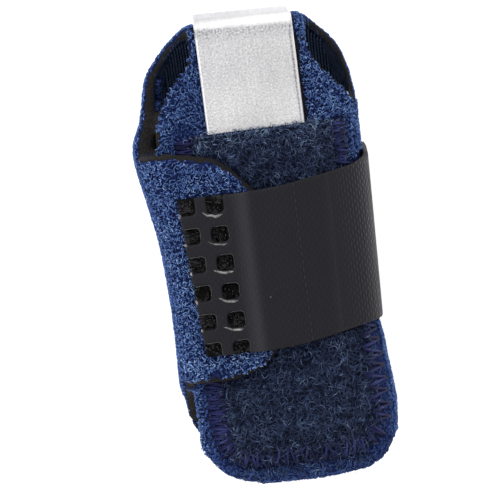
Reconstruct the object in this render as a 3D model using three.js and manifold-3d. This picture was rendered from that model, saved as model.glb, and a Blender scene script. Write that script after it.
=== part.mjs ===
// Toe straightener: a padded cloth sleeve with a bent aluminium stay in a pocket on its front.
// It lies on its back, in millimetres: +X to its right side, +Y to the tip of the toe, +Z out of its front.

import * as THREE from 'three';
import { mergeVertices } from 'three/addons/utils/BufferGeometryUtils.js';
import Module from 'manifold-3d';

const wasm = await Module();
wasm.setup();

// Thicknesses and the clearance that pieces keep from each other
const CLOTH = 2.0;
const STRAP = 0.9;
const PATCH = 1.0;
const STAY = 1.4;
const HOOK_TAPE = 0.9;
const CLEAR = 0.3;

// Heights of the layers, from the strap that lies on the table up to the strap's free end
const BACK_Z = STRAP + CLEAR;
const FRONT_Z = 20.4;
const RIM_Z = FRONT_Z - CLOTH - 0.5;
const STAY_Z = FRONT_Z + CLEAR;
const POCKET_RISE = STAY + CLEAR;
const PATCH_Z = FRONT_Z + CLEAR + 0.05;
const FLAP_Z = PATCH_Z + POCKET_RISE + PATCH + CLEAR;
const HOOK_Z = FLAP_Z + CLOTH + CLEAR;
const TAB_Z = HOOK_Z + HOOK_TAPE + CLEAR;

// Ends of the sleeve, and a reach past them for tools that cut right through
const TIP_Y = 37.2;
const FOLD_RADIUS = 1.5;
const FAR = 50;

// Corner radii across the sleeve
const HEEL_RADIUS = 8;
const SHOULDER_RADIUS = 8;
const LEAST_RADIUS = 0.5;
const CORNER_STEPS = 6;

// Lean of the strapped right side, in millimetres across for each millimetre along
const SIDE_LEAN = 0.035;
const SIDE_X = 17.6;

// Sides of the sleeve seen from above
const SIDES = [
  { y: -42, left: -15.9, right: 17.8 },
  { y: -33, left: -15.8, right: 18.05 },
  { y: -28, left: -15.8, right: 18.55 },
  { y: -24, left: -15.9, right: 18.32 },
  { y: -21, left: -16.1, right: 17.97 },
  { y: -17, left: -15.9, right: 17.75 },
  { y: -14, left: -15.8, right: 17.15 },
  { y: -8, left: -15.8, right: 17.32 },
  { y: 0, left: -16.2, right: 17.6 },
  { y: 4, left: -16.6, right: 17.74 },
  { y: 7, left: -17.2, right: 17.85 },
  { y: 10, left: -17.7, right: 17.95 },
  { y: 13.5, left: -18.4, right: 18.05 },
  { y: 17, left: -19.0, right: 18.0 },
  { y: 18.6, left: -18.9, right: 18.0 },
  { y: 20.2, left: -18.4, right: 18.0 },
  { y: 22, left: -17.4, right: 18.15 },
  { y: 24, left: -16.8, right: 18.05 },
  { y: 26, left: -16.4, right: 17.85 },
  { y: 28, left: -16.0, right: 17.4 },
  { y: 30, left: -15.3, right: 16.85 },
  { y: 32, left: -13.8, right: 15.9 },
  { y: 33.5, left: -12.5, right: 14.75 },
  { y: 34.6, left: -11.4, right: 13.7 },
  { y: 36, left: -9.7, right: 12.3 },
  { y: 36.8, left: -8.6, right: 11.6 },
  { y: TIP_Y, left: -8.0, right: 11.2 },
];

// Height of the back and the front: the open end lies on the table, the strap lifts the rest, the tip rises
const DEPTHS = [
  { y: -17, back: 0, front: FRONT_Z },
  { y: -11, back: BACK_Z, front: FRONT_Z },
  { y: 30, back: BACK_Z, front: FRONT_Z },
  { y: 33.5, back: BACK_Z + 0.7, front: FRONT_Z },
  { y: TIP_Y - FOLD_RADIUS, back: BACK_Z + 2.4, front: FRONT_Z },
  { y: 36.6, back: BACK_Z + 4.2, front: FRONT_Z - 0.3 },
  { y: TIP_Y, back: BACK_Z + 6.3, front: FRONT_Z - FOLD_RADIUS },
];

// Cloth of the side walls, pressed thinner round the tip, and shaved at the right rim
const WALLS = [
  { y: 19, left: CLOTH, right: CLOTH },
  { y: 24, left: CLOTH, right: 0.75 },
  { y: 29, left: 1.5, right: 0.7 },
  { y: 33, left: 1.2, right: 1.2 },
];

// Shoulder between front and right side, which sharpens above the strap
const SHOULDERS = [
  { y: 15, radius: SHOULDER_RADIUS },
  { y: 21, radius: 3 },
];

// Edge between front and left side, which sharpens above the flap
const EDGES = [
  { y: 19, radius: 5 },
  { y: 25, radius: 3 },
];

// Edge of the front panel seen from above: down the left of the neck, and back up its right
const PANEL_LEFT = [
  { x: -7.9, y: FAR },
  { x: -7.9, y: 33.0 },
  { x: -8.2, y: 31.3 },
  { x: -9.1, y: 29.9 },
  { x: -11.0, y: 28.1 },
  { x: -12.2, y: 26.8 },
  { x: -13.0, y: 25.4 },
  { x: -13.9, y: 24.2 },
  { x: -14.3, y: 23.2 },
  { x: -14.6, y: 22.0 },
  { x: -14.9, y: 18.4 },
];
const PANEL_FOOT_X = -13.9;
const PANEL_RIGHT = [
  { x: 18.6, y: 20.9 },
  { x: 17.4, y: 22.3 },
  { x: 16.5, y: 24.0 },
  { x: 15.2, y: 25.4 },
  { x: 13.8, y: 27.1 },
  { x: 12.4, y: 28.9 },
  { x: 11.5, y: 30.8 },
  { x: 11.0, y: 33.0 },
  { x: 11.0, y: FAR },
];

// Rounded open end of the sleeve seen from above
const OPEN_END = [
  { x: -15.2, y: -28.5 },
  { x: -14.2, y: -31.0 },
  { x: -13.4, y: -33.0 },
  { x: -11.9, y: -35.0 },
  { x: -10.2, y: -36.6 },
  { x: -8.0, y: -37.7 },
  { x: -4.0, y: -38.7 },
  { x: 5.0, y: -38.9 },
  { x: 9.0, y: -38.5 },
  { x: 12.5, y: -37.8 },
  { x: 14.5, y: -36.7 },
  { x: 16.0, y: -35.6 },
  { x: 18.0, y: -33.5 },
  { x: 18.6, y: -30.0 },
];

// The back stops short of the front at the open end, along a slant seen from the side
const BACK_END_Y = -33;
const FRONT_END_Y = -39;

// The left wall dips below the flap's lower corner, seen from the side
const LEFT_DIP = [
  { y: -22.0, z: RIM_Z + 0.1 },
  { y: -22.3, z: 14.0 },
  { y: -23.2, z: 10.5 },
  { y: -25.0, z: 8.4 },
  { y: -27.6, z: 6.2 },
  { y: -30.0, z: 4.0 },
  { y: -34.0, z: 1.5 },
];
const DIP_REACH_X = -8;

// Flap that comes up from the left wall and lies over the front: its edges, cut aslant so that the foam shows
const FLAP_ROOT_Z = 11;
const FLAP_ARC_Z = 20.3;
const FLAP_EMBED = 0.03;
const FLAP_SLOT = 1.0;
const FLAP_BEVEL = 1.1;
const FLAP_ROOT = { top: 17.4, bottom: -21.3 };
const FLAP_TURN = { top: 17.0, bottom: -21.5 };
const FLAP = [
  { x: -8.5, top: 16.0, bottom: -21.4 },
  { x: -6.4, top: 15.5, bottom: -21.2 },
  { x: -4.2, top: 13.95, bottom: -20.6 },
  { x: -2.4, top: 12.1, bottom: -19.8 },
  { x: -1.0, top: 10.4, bottom: -18.8 },
  { x: 0.2, top: 9.1, bottom: -17.6 },
  { x: 2.0, top: 7.0, bottom: -15.5 },
  { x: 3.4, top: 4.5, bottom: -13.0 },
  { x: 4.2, top: 1.5, bottom: -10.0 },
];

// Aluminium stay
const STAY_WIDTH = 16.1;
const STAY_X = 1.35;
const STAY_FOOT_Y = -32.3;
const STAY_LEG_Z = 9.8;
const STAY_CORNER = 2.5;
const STAY_BEND = FOLD_RADIUS + CLEAR + STAY / 2;

// Pile patch that makes the pocket
const PATCH_LEFT = -10.4;
const PATCH_RIGHT = 15.6;
const PATCH_FOOT_Y = -35.8;
const PATCH_MOUTH_Y = 19.1;
const PATCH_CORNER = 5;
const POCKET_MARGIN = 0.4;
const POCKET_RAMP = 2.1;

// Strap: its edges along its length from the free end, and the lean of the welded tab
const STRAP_EDGES = [
  { along: 0, bottom: -16.8, top: 9.1 },
  { along: 12.4, bottom: -17.1, top: 8.9 },
  { along: 17.5, bottom: -16.6, top: 9.5 },
  { along: 29.5, bottom: -14.8, top: 11.4 },
  { along: 35.4, bottom: -13.9, top: 13.3 },
  { along: 76, bottom: -3.8, top: 22.7 },
];
const STRAP_END_X = -12.1;
const STRAP_TAIL_X = -10;
const TAB_LEAN = -0.062;
const TAB_MIDDLE_Y = -3.8;

// Welded squares of the tab, in two columns that run past the strap's end and edges
const WELD_COLUMNS = [
  { x: -10.93, y: 7.5, width: 3.0, openLeft: 3 },
  { x: -6.23, y: 7.4, width: 2.75, openLeft: 0 },
];
const WELD_ROWS = 6;
const WELD_PITCH = 4.68;
const WELD_HEIGHT = 2.45;
const WELD_CORNER = 0.4;
const WELD_OVERRUN = 2;
const HOOK_END_X = -3.4;

const QUARTER = Math.PI / 2;

// A value that runs straight from row to row of a table
function valueAlong(rows, key, name) {
  const places = rows.map((row) => row[key]);
  const values = rows.map((row) => row[name]);
  const curve = new THREE.LinearInterpolant(places, values, 1);
  return (place) => curve.evaluate(place)[0];
}

const leftAt = valueAlong(SIDES, 'y', 'left');
const rightAt = valueAlong(SIDES, 'y', 'right');
const backAt = valueAlong(DEPTHS, 'y', 'back');
const frontAt = valueAlong(DEPTHS, 'y', 'front');
const shoulderAt = valueAlong(SHOULDERS, 'y', 'radius');
const edgeAt = valueAlong(EDGES, 'y', 'radius');
const leftWallAt = valueAlong(WALLS, 'y', 'left');
const rightWallAt = valueAlong(WALLS, 'y', 'right');

// How much a wall's inset grows where its side runs aslant to the section
function slantGrowth(sideAt, y) {
  const step = 0.5;
  const slope = (sideAt(y + step) - sideAt(y - step)) / (2 * step);
  return Math.min(Math.hypot(1, slope), 1.6);
}

// A geometry from points and triangles, turned inside out if its faces point in
function closedGeometry(points, triangles) {
  let volume = 0;
  for (const [a, b, c] of triangles) {
    volume += points[a].dot(new THREE.Vector3().crossVectors(points[b], points[c]));
  }
  const facing = volume > 0 ? triangles : triangles.map(([a, b, c]) => [a, c, b]);
  const geometry = new THREE.BufferGeometry().setFromPoints(points);
  geometry.setIndex(facing.flat());
  return geometry;
}

// A body through a row of rings that have the same number of points
function loft(rings) {
  const count = rings[0].length;
  const points = rings.flat();
  const triangles = [];
  for (let ring = 0; ring + 1 < rings.length; ring += 1) {
    for (let i = 0; i < count; i += 1) {
      const a = ring * count + i;
      const b = ring * count + ((i + 1) % count);
      triangles.push([a, b, b + count], [a, b + count, a + count]);
    }
  }
  const last = (rings.length - 1) * count;
  for (let i = 1; i + 1 < count; i += 1) {
    triangles.push([0, i + 1, i], [last, last + i, last + i + 1]);
  }
  return closedGeometry(points, triangles);
}

// A sheet with thickness: pointAt gives its two faces over a grid of columns and rows
function sheet(columns, rows, pointAt) {
  const points = [];
  for (const face of [-1, 1]) {
    for (const column of columns) {
      for (const row of rows) {
        points.push(pointAt(column, row, face));
      }
    }
  }
  const across = rows.length;
  const index = (face, i, j) => (face * columns.length + i) * across + j;
  const triangles = [];
  const quad = (a, b, c, d) => triangles.push([a, b, c], [a, c, d]);
  for (let i = 0; i + 1 < columns.length; i += 1) {
    for (let j = 0; j + 1 < across; j += 1) {
      quad(index(1, i, j), index(1, i + 1, j), index(1, i + 1, j + 1), index(1, i, j + 1));
      quad(index(0, i, j), index(0, i, j + 1), index(0, i + 1, j + 1), index(0, i + 1, j));
    }
    const end = across - 1;
    quad(index(0, i, 0), index(0, i + 1, 0), index(1, i + 1, 0), index(1, i, 0));
    quad(index(1, i, end), index(1, i + 1, end), index(0, i + 1, end), index(0, i, end));
  }
  const last = columns.length - 1;
  for (let j = 0; j + 1 < across; j += 1) {
    quad(index(1, 0, j), index(1, 0, j + 1), index(0, 0, j + 1), index(0, 0, j));
    quad(index(0, last, j), index(0, last, j + 1), index(1, last, j + 1), index(1, last, j));
  }
  return closedGeometry(points, triangles);
}

// A flat outline with an optional hole, extruded upwards between two heights
function plate(outline, low, high, hole) {
  const shape = new THREE.Shape(outline.map(({ x, y }) => new THREE.Vector2(x, y)));
  if (hole) {
    shape.holes.push(new THREE.Path(hole.map(({ x, y }) => new THREE.Vector2(x, y))));
  }
  const geometry = new THREE.ExtrudeGeometry(shape, { depth: high - low, bevelEnabled: false });
  return geometry.translate(0, 0, low);
}

// An outline seen from the side, extruded from left to right
function sidePlate(outline, left, right) {
  const flat = outline.map(({ y, z }) => ({ x: y, y: z }));
  const along = new THREE.Vector3(0, 1, 0);
  const up = new THREE.Vector3(0, 0, 1);
  const across = new THREE.Vector3(1, 0, 0);
  const turn = new THREE.Matrix4().makeBasis(along, up, across);
  return plate(flat, left, right).applyMatrix4(turn);
}

function solidOf(geometry) {
  geometry.deleteAttribute('normal');
  geometry.deleteAttribute('uv');
  const merged = mergeVertices(geometry, 1e-5);
  const vertProperties = new Float32Array(merged.attributes.position.array);
  const triVerts = new Uint32Array(merged.index.array);
  return new wasm.Manifold(new wasm.Mesh({ numProp: 3, vertProperties, triVerts }));
}

function geometryOf(solid) {
  const { vertProperties, triVerts } = solid.getMesh();
  const geometry = new THREE.BufferGeometry();
  geometry.setAttribute('position', new THREE.BufferAttribute(vertProperties, 3));
  geometry.setIndex(new THREE.BufferAttribute(triVerts, 1));
  geometry.computeVertexNormals();
  return geometry;
}

// Rounded rectangle across the sleeve at one place along it, drawn in by insets from its faces and its sides
function sectionRing(y, inset, leftInset, rightInset) {
  const left = leftAt(y) + leftInset * slantGrowth(leftAt, y);
  const right = rightAt(y) - rightInset * slantGrowth(rightAt, y);
  const low = backAt(y) + inset * slantGrowth(backAt, y);
  const high = frontAt(y) - inset;
  const corners = [
    { x: right, z: high, radius: shoulderAt(y), inX: -1, inZ: -1 },
    { x: left, z: high, radius: edgeAt(y), inX: 1, inZ: -1 },
    { x: left, z: low, radius: HEEL_RADIUS, inX: 1, inZ: 1 },
    { x: right, z: low, radius: HEEL_RADIUS, inX: -1, inZ: 1 },
  ];
  return corners.flatMap((corner, quarter) => {
    const radius = Math.max(corner.radius - inset, LEAST_RADIUS);
    return Array.from({ length: CORNER_STEPS + 1 }, (_, step) => {
      const angle = (quarter + step / CORNER_STEPS) * QUARTER;
      const x = corner.x + corner.inX * radius + radius * Math.cos(angle);
      const z = corner.z + corner.inZ * radius + radius * Math.sin(angle);
      return new THREE.Vector3(x, y, z);
    });
  });
}

// Cloth tube from the open end to the folded tip, hollow for the toe
function tube() {
  const places = [...SIDES, ...DEPTHS, ...SHOULDERS, ...EDGES, ...WALLS].map(({ y }) => y);
  const stations = [...new Set(places)].sort((a, b) => a - b);
  const innerTip = TIP_Y - CLOTH;
  const outer = loft(stations.map((y) => sectionRing(y, 0, 0, 0)));
  const innerStations = [-FAR, ...stations.filter((y) => y < innerTip), innerTip];
  const inner = loft(innerStations.map((y) => sectionRing(y, CLOTH, leftWallAt(y), rightWallAt(y))));
  return solidOf(outer).subtract(solidOf(inner));
}

// What is cut away round the front panel above the rim of the walls
function panelCut() {
  const flapSide = SIDES.filter(({ y }) => y <= 17 && y >= -21).reverse();
  const underFlap = flapSide.map(({ y, left }) => ({ x: left + CLOTH + FLAP_SLOT, y }));
  const foot = [{ x: PANEL_FOOT_X, y: -22.4 }, { x: PANEL_FOOT_X, y: -FAR }];
  const rightSide = [{ x: FAR, y: -FAR }, { x: FAR, y: 20.5 }];
  const panel = [...PANEL_LEFT, ...underFlap, ...foot, ...rightSide, ...PANEL_RIGHT];
  const reach = FAR + 5;
  const frame = [
    { x: -reach, y: -reach },
    { x: reach, y: -reach },
    { x: reach, y: reach },
    { x: -reach, y: reach },
  ];
  return plate(frame, RIM_Z, FAR, panel);
}

// What is cut away beyond the rounded open end
function openEndCut() {
  const first = OPEN_END[0];
  const last = OPEN_END[OPEN_END.length - 1];
  const around = [
    { x: FAR, y: last.y },
    { x: FAR, y: -FAR },
    { x: -FAR, y: -FAR },
    { x: -FAR, y: first.y },
  ];
  return plate([...OPEN_END, ...around], -FAR, FAR);
}

// What is cut away along the slant from the back's end to the front's end
function slantCut() {
  const below = -CLOTH;
  const top = RIM_Z + 0.1;
  const slope = (FRONT_END_Y - BACK_END_Y) / (RIM_Z - BACK_Z);
  const slantAt = (z) => BACK_END_Y + slope * (z - BACK_Z);
  const outline = [
    { y: slantAt(below), z: below },
    { y: slantAt(top), z: top },
    { y: -FAR, z: top },
    { y: -FAR, z: below },
  ];
  return sidePlate(outline, -FAR, FAR);
}

// What is cut away from the left wall below the flap's lower corner
function dipCut() {
  const first = LEFT_DIP[0];
  const last = LEFT_DIP[LEFT_DIP.length - 1];
  const outline = [...LEFT_DIP, { y: -FAR, z: last.z }, { y: -FAR, z: first.z }];
  return sidePlate(outline, -FAR, DIP_REACH_X);
}

// Flap: up inside the left wall, round a quarter turn and flat over the front
function flap() {
  const half = CLOTH / 2 - FLAP_EMBED;
  const turn = FLAP_Z + CLOTH / 2 - FLAP_ARC_Z;
  const wallColumns = [FLAP_ROOT_Z, (FLAP_ROOT_Z + FLAP_ARC_Z) / 2].map((z) => ({ z, angle: 0, share: 0 }));
  const turnColumns = Array.from({ length: CORNER_STEPS + 1 }, (_, step) => {
    const share = step / CORNER_STEPS;
    return { z: FLAP_ARC_Z, angle: share * QUARTER, share };
  });
  const flatColumns = FLAP.map((edges) => ({ edges }));
  const columns = [...wallColumns, ...turnColumns, ...flatColumns];
  const rows = Array.from({ length: 13 }, (_, row) => row / 12);
  return sheet(columns, rows, (column, row, face) => {
    const drawn = face > 0 ? FLAP_BEVEL : 0;
    if (column.edges) {
      const { x, top, bottom } = column.edges;
      const y = THREE.MathUtils.lerp(bottom + drawn, top - drawn, row);
      return new THREE.Vector3(x, y, FLAP_Z + CLOTH / 2 + face * half);
    }
    const top = THREE.MathUtils.lerp(FLAP_ROOT.top, FLAP_TURN.top, column.share);
    const bottom = THREE.MathUtils.lerp(FLAP_ROOT.bottom, FLAP_TURN.bottom, column.share);
    const y = THREE.MathUtils.lerp(bottom + drawn, top - drawn, row);
    const centre = leftAt(y) + CLOTH / 2 + turn;
    const radius = turn + face * half;
    const x = centre - radius * Math.cos(column.angle);
    return new THREE.Vector3(x, y, column.z + radius * Math.sin(column.angle));
  });
}

function wrapSolid() {
  const cuts = [panelCut(), openEndCut(), slantCut(), dipCut()];
  const body = cuts.reduce((solid, cut) => solid.subtract(solidOf(cut)), tube());
  return body.add(solidOf(flap()));
}

// How far a rounded corner draws an edge in, at a distance from the corner's end
function cornerInset(radius, distance) {
  const short = Math.max(radius - distance, 0);
  return radius - Math.sqrt(Math.max(radius * radius - short * short, 0));
}

// Stay: flat up the front, bent down over the tip
function staySolid() {
  const middle = STAY_Z + STAY / 2;
  const bendY = TIP_Y - FOLD_RADIUS;
  const bendZ = middle - STAY_BEND;
  const path = new THREE.Path();
  path.moveTo(STAY_FOOT_Y, middle);
  [0.25, 0.8, 1.6, STAY_CORNER].forEach((along) => path.lineTo(STAY_FOOT_Y + along, middle));
  path.lineTo(bendY, middle);
  path.absarc(bendY, bendZ, STAY_BEND, QUARTER, 0, true);
  [STAY_CORNER, 1.6, 0.8, 0.25, 0].forEach((left) => path.lineTo(bendY + STAY_BEND, STAY_LEG_Z + left));
  const columns = ribbon(path, 4);
  const length = columns[columns.length - 1].along;
  return solidOf(sheet(columns, [-1, 1], (column, row, face) => {
    const toEnd = Math.min(column.along, length - column.along);
    const half = STAY_WIDTH / 2 - cornerInset(STAY_CORNER, toEnd);
    const y = column.point.x + face * column.normal.x * STAY / 2;
    const z = column.point.y + face * column.normal.y * STAY / 2;
    return new THREE.Vector3(STAY_X + row * half, y, z);
  }));
}

// Points of a path with the normal on its left and the length run so far
function ribbon(path, divisions) {
  const points = path.getPoints(divisions);
  let along = 0;
  return points.map((point, i) => {
    const before = points[Math.max(i - 1, 0)];
    const after = points[Math.min(i + 1, points.length - 1)];
    const tangent = new THREE.Vector2().subVectors(after, before).normalize();
    along += point.distanceTo(before);
    return { point, along, normal: new THREE.Vector2(-tangent.y, tangent.x) };
  });
}

// How far the front panel falls away round the right shoulder
function panelDrop(x, y) {
  const radius = shoulderAt(y);
  const over = Math.min(Math.max(x - (rightAt(y) - radius), 0), radius);
  return radius - Math.sqrt(radius * radius - over * over);
}

// Share of the full rise of the pocket over the stay, from its ramps on three sides
function pocketShare(x, y) {
  const half = STAY_WIDTH / 2 + POCKET_MARGIN + POCKET_RAMP;
  const fromSide = half - Math.abs(x - STAY_X);
  const fromFoot = y - (STAY_FOOT_Y - POCKET_MARGIN - POCKET_RAMP);
  return THREE.MathUtils.smoothstep(Math.min(fromSide, fromFoot), 0, POCKET_RAMP);
}

// Patch: lies on the front panel and humps over the stay
function pocketSolid() {
  const width = PATCH_RIGHT - PATCH_LEFT;
  const near = [0, 0.4, 1.2, 1.8, 2.4, 3.2];
  const middle = [7, 11.8, 16.5, 19];
  const farSide = [5.7, 4.9, 4.3, 3.6, 2.8, 1.7, 0.6, 0].map((fromRight) => width - fromRight);
  const columns = [...near, ...middle, ...farSide].map((offset) => PATCH_LEFT + offset);
  const rows = [0, 0.02, 0.034, 0.05, 0.066, 0.09, 0.2, 0.35, 0.5, 0.65, 0.8, 0.9, 0.95, 1];
  return solidOf(sheet(columns, rows, (x, row, face) => {
    const toSide = Math.min(x - PATCH_LEFT, PATCH_RIGHT - x);
    const foot = PATCH_FOOT_Y + cornerInset(PATCH_CORNER, toSide);
    const y = THREE.MathUtils.lerp(foot, PATCH_MOUTH_Y, row);
    const under = PATCH_Z - panelDrop(x, y) + POCKET_RISE * pocketShare(x, y);
    return new THREE.Vector3(x, y, face > 0 ? under + PATCH : under);
  }));
}

// Middle line of the strap across the sleeve: tab, slope over the pocket, side, heel and back
function strapPath() {
  const top = TAB_Z + STRAP / 2;
  const side = SIDE_X + CLEAR + STRAP / 2;
  const heelX = SIDE_X - HEEL_RADIUS;
  const heelZ = BACK_Z + HEEL_RADIUS;
  const path = new THREE.Path();
  path.moveTo(STRAP_END_X, top);
  path.lineTo(-3.9, top);
  path.quadraticCurveTo(-3, top, -2.1, top - 0.15);
  path.lineTo(3.4, top - 1.05);
  path.quadraticCurveTo(4.4, top - 1.2, 5.2, top - 1.55);
  path.lineTo(9.6, top - 3.35);
  path.quadraticCurveTo(10.7, top - 3.8, 11.5, top - 4.6);
  path.lineTo(15.7, 20.2);
  path.quadraticCurveTo(side, 18.2, side, 15);
  path.lineTo(side, heelZ);
  path.absarc(heelX, heelZ, side - heelX, 0, -QUARTER, true);
  path.lineTo(STRAP_TAIL_X, BACK_Z - CLEAR - STRAP / 2);
  return path;
}

// Sideways shift of the strap: the lean of its tab on the left and of the sleeve's side on the right
function strapShift(x, y) {
  const tab = 1 - THREE.MathUtils.smoothstep(x, -3, 3);
  const side = THREE.MathUtils.smoothstep(x, 4, 14);
  return tab * TAB_LEAN * (y - TAB_MIDDLE_Y) + side * SIDE_LEAN * y;
}

// Tools for the welded squares, open past the strap's free end and its two edges
function weldTools(low, high) {
  return WELD_COLUMNS.flatMap((column) => Array.from({ length: WELD_ROWS }, (_, row) => {
    const y = column.y - row * WELD_PITCH;
    const x = column.x + strapShift(column.x, y);
    const left = x - column.width / 2 - column.openLeft;
    const right = x + column.width / 2;
    const bottom = y - WELD_HEIGHT / 2 - (row === WELD_ROWS - 1 ? WELD_OVERRUN : 0);
    const top = y + WELD_HEIGHT / 2 + (row === 0 ? WELD_OVERRUN : 0);
    const bevel = WELD_CORNER;
    const outline = [
      { x: left + bevel, y: bottom },
      { x: right - bevel, y: bottom },
      { x: right, y: bottom + bevel },
      { x: right, y: top - bevel },
      { x: right - bevel, y: top },
      { x: left + bevel, y: top },
      { x: left, y: top - bevel },
      { x: left, y: bottom + bevel },
    ];
    return solidOf(plate(outline, low, high));
  }));
}

function strapSolid() {
  const bottomAt = valueAlong(STRAP_EDGES, 'along', 'bottom');
  const topAt = valueAlong(STRAP_EDGES, 'along', 'top');
  const columns = ribbon(strapPath(), 6);
  const rows = [0, 0.25, 0.5, 0.75, 1];
  const band = sheet(columns, rows, (column, row, face) => {
    const y = THREE.MathUtils.lerp(bottomAt(column.along), topAt(column.along), row);
    const x = column.point.x + face * column.normal.x * STRAP / 2;
    const onTop = column.point.y > FRONT_Z - HEEL_RADIUS;
    const side = THREE.MathUtils.smoothstep(column.point.x, 4, 14);
    const shift = onTop ? strapShift(column.point.x, y) : side * SIDE_LEAN * y;
    return new THREE.Vector3(x + shift, y, column.point.y + face * column.normal.y * STRAP / 2);
  });
  const tools = weldTools(TAB_Z - CLEAR / 2, FAR);
  return tools.reduce((solid, tool) => solid.subtract(tool), solidOf(band));
}

// Hook tape: welded under the strap's free end, where it grips the flap
function hookSolid() {
  const low = STRAP_EDGES[0].bottom;
  const high = STRAP_EDGES[0].top;
  const corner = (x, y) => ({ x: x + strapShift(x, y), y });
  const outline = [
    corner(STRAP_END_X, low),
    corner(HOOK_END_X, low),
    corner(HOOK_END_X, high),
    corner(STRAP_END_X, high),
  ];
  return solidOf(plate(outline, HOOK_Z, HOOK_Z + HOOK_TAPE));
}

function piece(name, solid, color, roughness, metalness) {
  const material = new THREE.MeshStandardMaterial({ color, roughness, metalness });
  const mesh = new THREE.Mesh(geometryOf(solid), material);
  mesh.name = name;
  return mesh;
}

const splint = new THREE.Group();
splint.add(piece('wrap', wrapSolid(), 0x32509a, 0.95, 0));
splint.add(piece('stay_pocket', pocketSolid(), 0x233755, 1, 0));
splint.add(piece('aluminium_stay', staySolid(), 0xd9d8d6, 0.35, 1));
splint.add(piece('closure_strap', strapSolid(), 0x2b2b2f, 0.6, 0));
splint.add(piece('hook_tab', hookSolid(), 0x121214, 0.5, 0));

export default splint;
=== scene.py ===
# %% [markdown]
# # A toe straightener, dressed for its picture
#
# The real object is a padded sleeve for a toe or a finger. Its cloth is a sandwich: curly blue loop pile
# outside, black foam inside, a ribbed lining next to the skin. A bent bar of soft aluminium sits in a
# pocket on the front, a flap closes over it, and a black strap with welded hook tape holds everything.
#
# The frame that this scene loads already has every size, so the work here is all surface: loops, fibres,
# stitches, welds and light. Each step says what the piece is, then makes it.

# %% Load the frame
import math

import bpy
import numpy as np
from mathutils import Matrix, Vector
from mathutils.bvhtree import BVHTree


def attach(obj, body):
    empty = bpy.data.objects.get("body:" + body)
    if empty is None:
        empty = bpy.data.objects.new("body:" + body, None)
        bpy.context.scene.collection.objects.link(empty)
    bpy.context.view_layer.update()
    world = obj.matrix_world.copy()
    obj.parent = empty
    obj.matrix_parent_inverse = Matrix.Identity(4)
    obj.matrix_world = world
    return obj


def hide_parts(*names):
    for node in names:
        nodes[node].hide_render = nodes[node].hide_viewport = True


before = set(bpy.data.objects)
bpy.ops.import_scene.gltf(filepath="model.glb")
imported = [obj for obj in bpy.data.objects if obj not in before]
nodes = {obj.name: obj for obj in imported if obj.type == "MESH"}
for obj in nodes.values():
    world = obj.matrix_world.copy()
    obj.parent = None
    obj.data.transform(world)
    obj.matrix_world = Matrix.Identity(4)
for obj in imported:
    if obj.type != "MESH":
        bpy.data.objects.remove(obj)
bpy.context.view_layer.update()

MM = 0.001
scene = bpy.context.scene

# %% [markdown]
# ## Arrays instead of thousands of objects
#
# A towel has thousands of loops, and one Blender object for each would be slow. So the loops, fibres and
# threads are worked out as arrays in NumPy and put into one mesh for each piece. Lengths in the arrays are
# in millimetres, which suits an object this small, and turn into metres only when a mesh is made.

# %% Between meshes and arrays
def arrays_of(mesh):
    """Points in millimetres, triangles, the face that each triangle is part of, and smooth normals."""
    mesh.calc_loop_triangles()
    points = np.empty((len(mesh.vertices), 3), np.float32)
    mesh.vertices.foreach_get("co", points.ravel())
    normals = np.empty_like(points)
    mesh.vertex_normals.foreach_get("vector", normals.ravel())
    triangles = np.empty((len(mesh.loop_triangles), 3), np.int32)
    mesh.loop_triangles.foreach_get("vertices", triangles.ravel())
    owners = np.empty(len(mesh.loop_triangles), np.int32)
    mesh.loop_triangles.foreach_get("polygon_index", owners)
    return points.astype(float) / MM, triangles, owners, normals.astype(float)


def write_points(mesh, points):
    """Put points in millimetres into a mesh."""
    mesh.vertices.foreach_set("co", (np.asarray(points) * MM).astype(np.float32).ravel())


def mesh_from(name, points, quads, triangles=()):
    """A mesh from points in millimetres and its four-sided and three-sided faces."""
    quads = np.asarray(quads, np.int32).reshape(-1, 4)
    triangles = np.asarray(triangles, np.int32).reshape(-1, 3)
    corners = np.concatenate([quads.ravel(), triangles.ravel()])
    sizes = np.concatenate([np.full(len(quads), 4), np.full(len(triangles), 3)])
    mesh = bpy.data.meshes.new(name)
    mesh.vertices.add(len(points))
    write_points(mesh, points)
    mesh.loops.add(len(corners))
    mesh.loops.foreach_set("vertex_index", corners)
    mesh.polygons.add(len(sizes))
    mesh.polygons.foreach_set("loop_start", np.concatenate([[0], np.cumsum(sizes)[:-1]]).astype(np.int32))
    mesh.update(calc_edges=True)
    return mesh

# %% [markdown]
# ## Camera
#
# The photograph looks straight down on the sleeve from a good distance, so there is hardly any perspective.
# A long lens far away gives the same flat look. The sleeve's tip leans a little to the left in the picture,
# and that is only the camera turned about its own axis: the object itself never moves.

# %% Camera above the sleeve
SENSOR_MM, PICTURE_MM = 36, 81.75
CAMERA_TURN = math.radians(-7.3)
CAMERA_DISTANCE = 600
LOOK_AT = Vector((-2.15, -0.45, 21.5))

camera_data = bpy.data.cameras.new("camera")
camera_data.sensor_width = SENSOR_MM
camera_data.lens = SENSOR_MM * CAMERA_DISTANCE / PICTURE_MM
camera = bpy.data.objects.new("camera", camera_data)
camera.location = (LOOK_AT + Vector((0, 0, CAMERA_DISTANCE))) * MM
camera.rotation_euler = (0, 0, CAMERA_TURN)
scene.collection.objects.link(camera)
scene.camera = camera
print("lens in mm:", round(camera_data.lens, 1))

# %% [markdown]
# ## Light and table
#
# The picture was taken in a light tent: white all round, with a little more light from the upper left, a wide
# soft light behind the tip and a low one at the lower left that makes the welded plastic glint. The table is
# a plain white sheet, lit from below as light tables are, so the sleeve hardly throws a shadow on it. The
# Standard view keeps the blues of the cloth as strong as they are.

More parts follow.
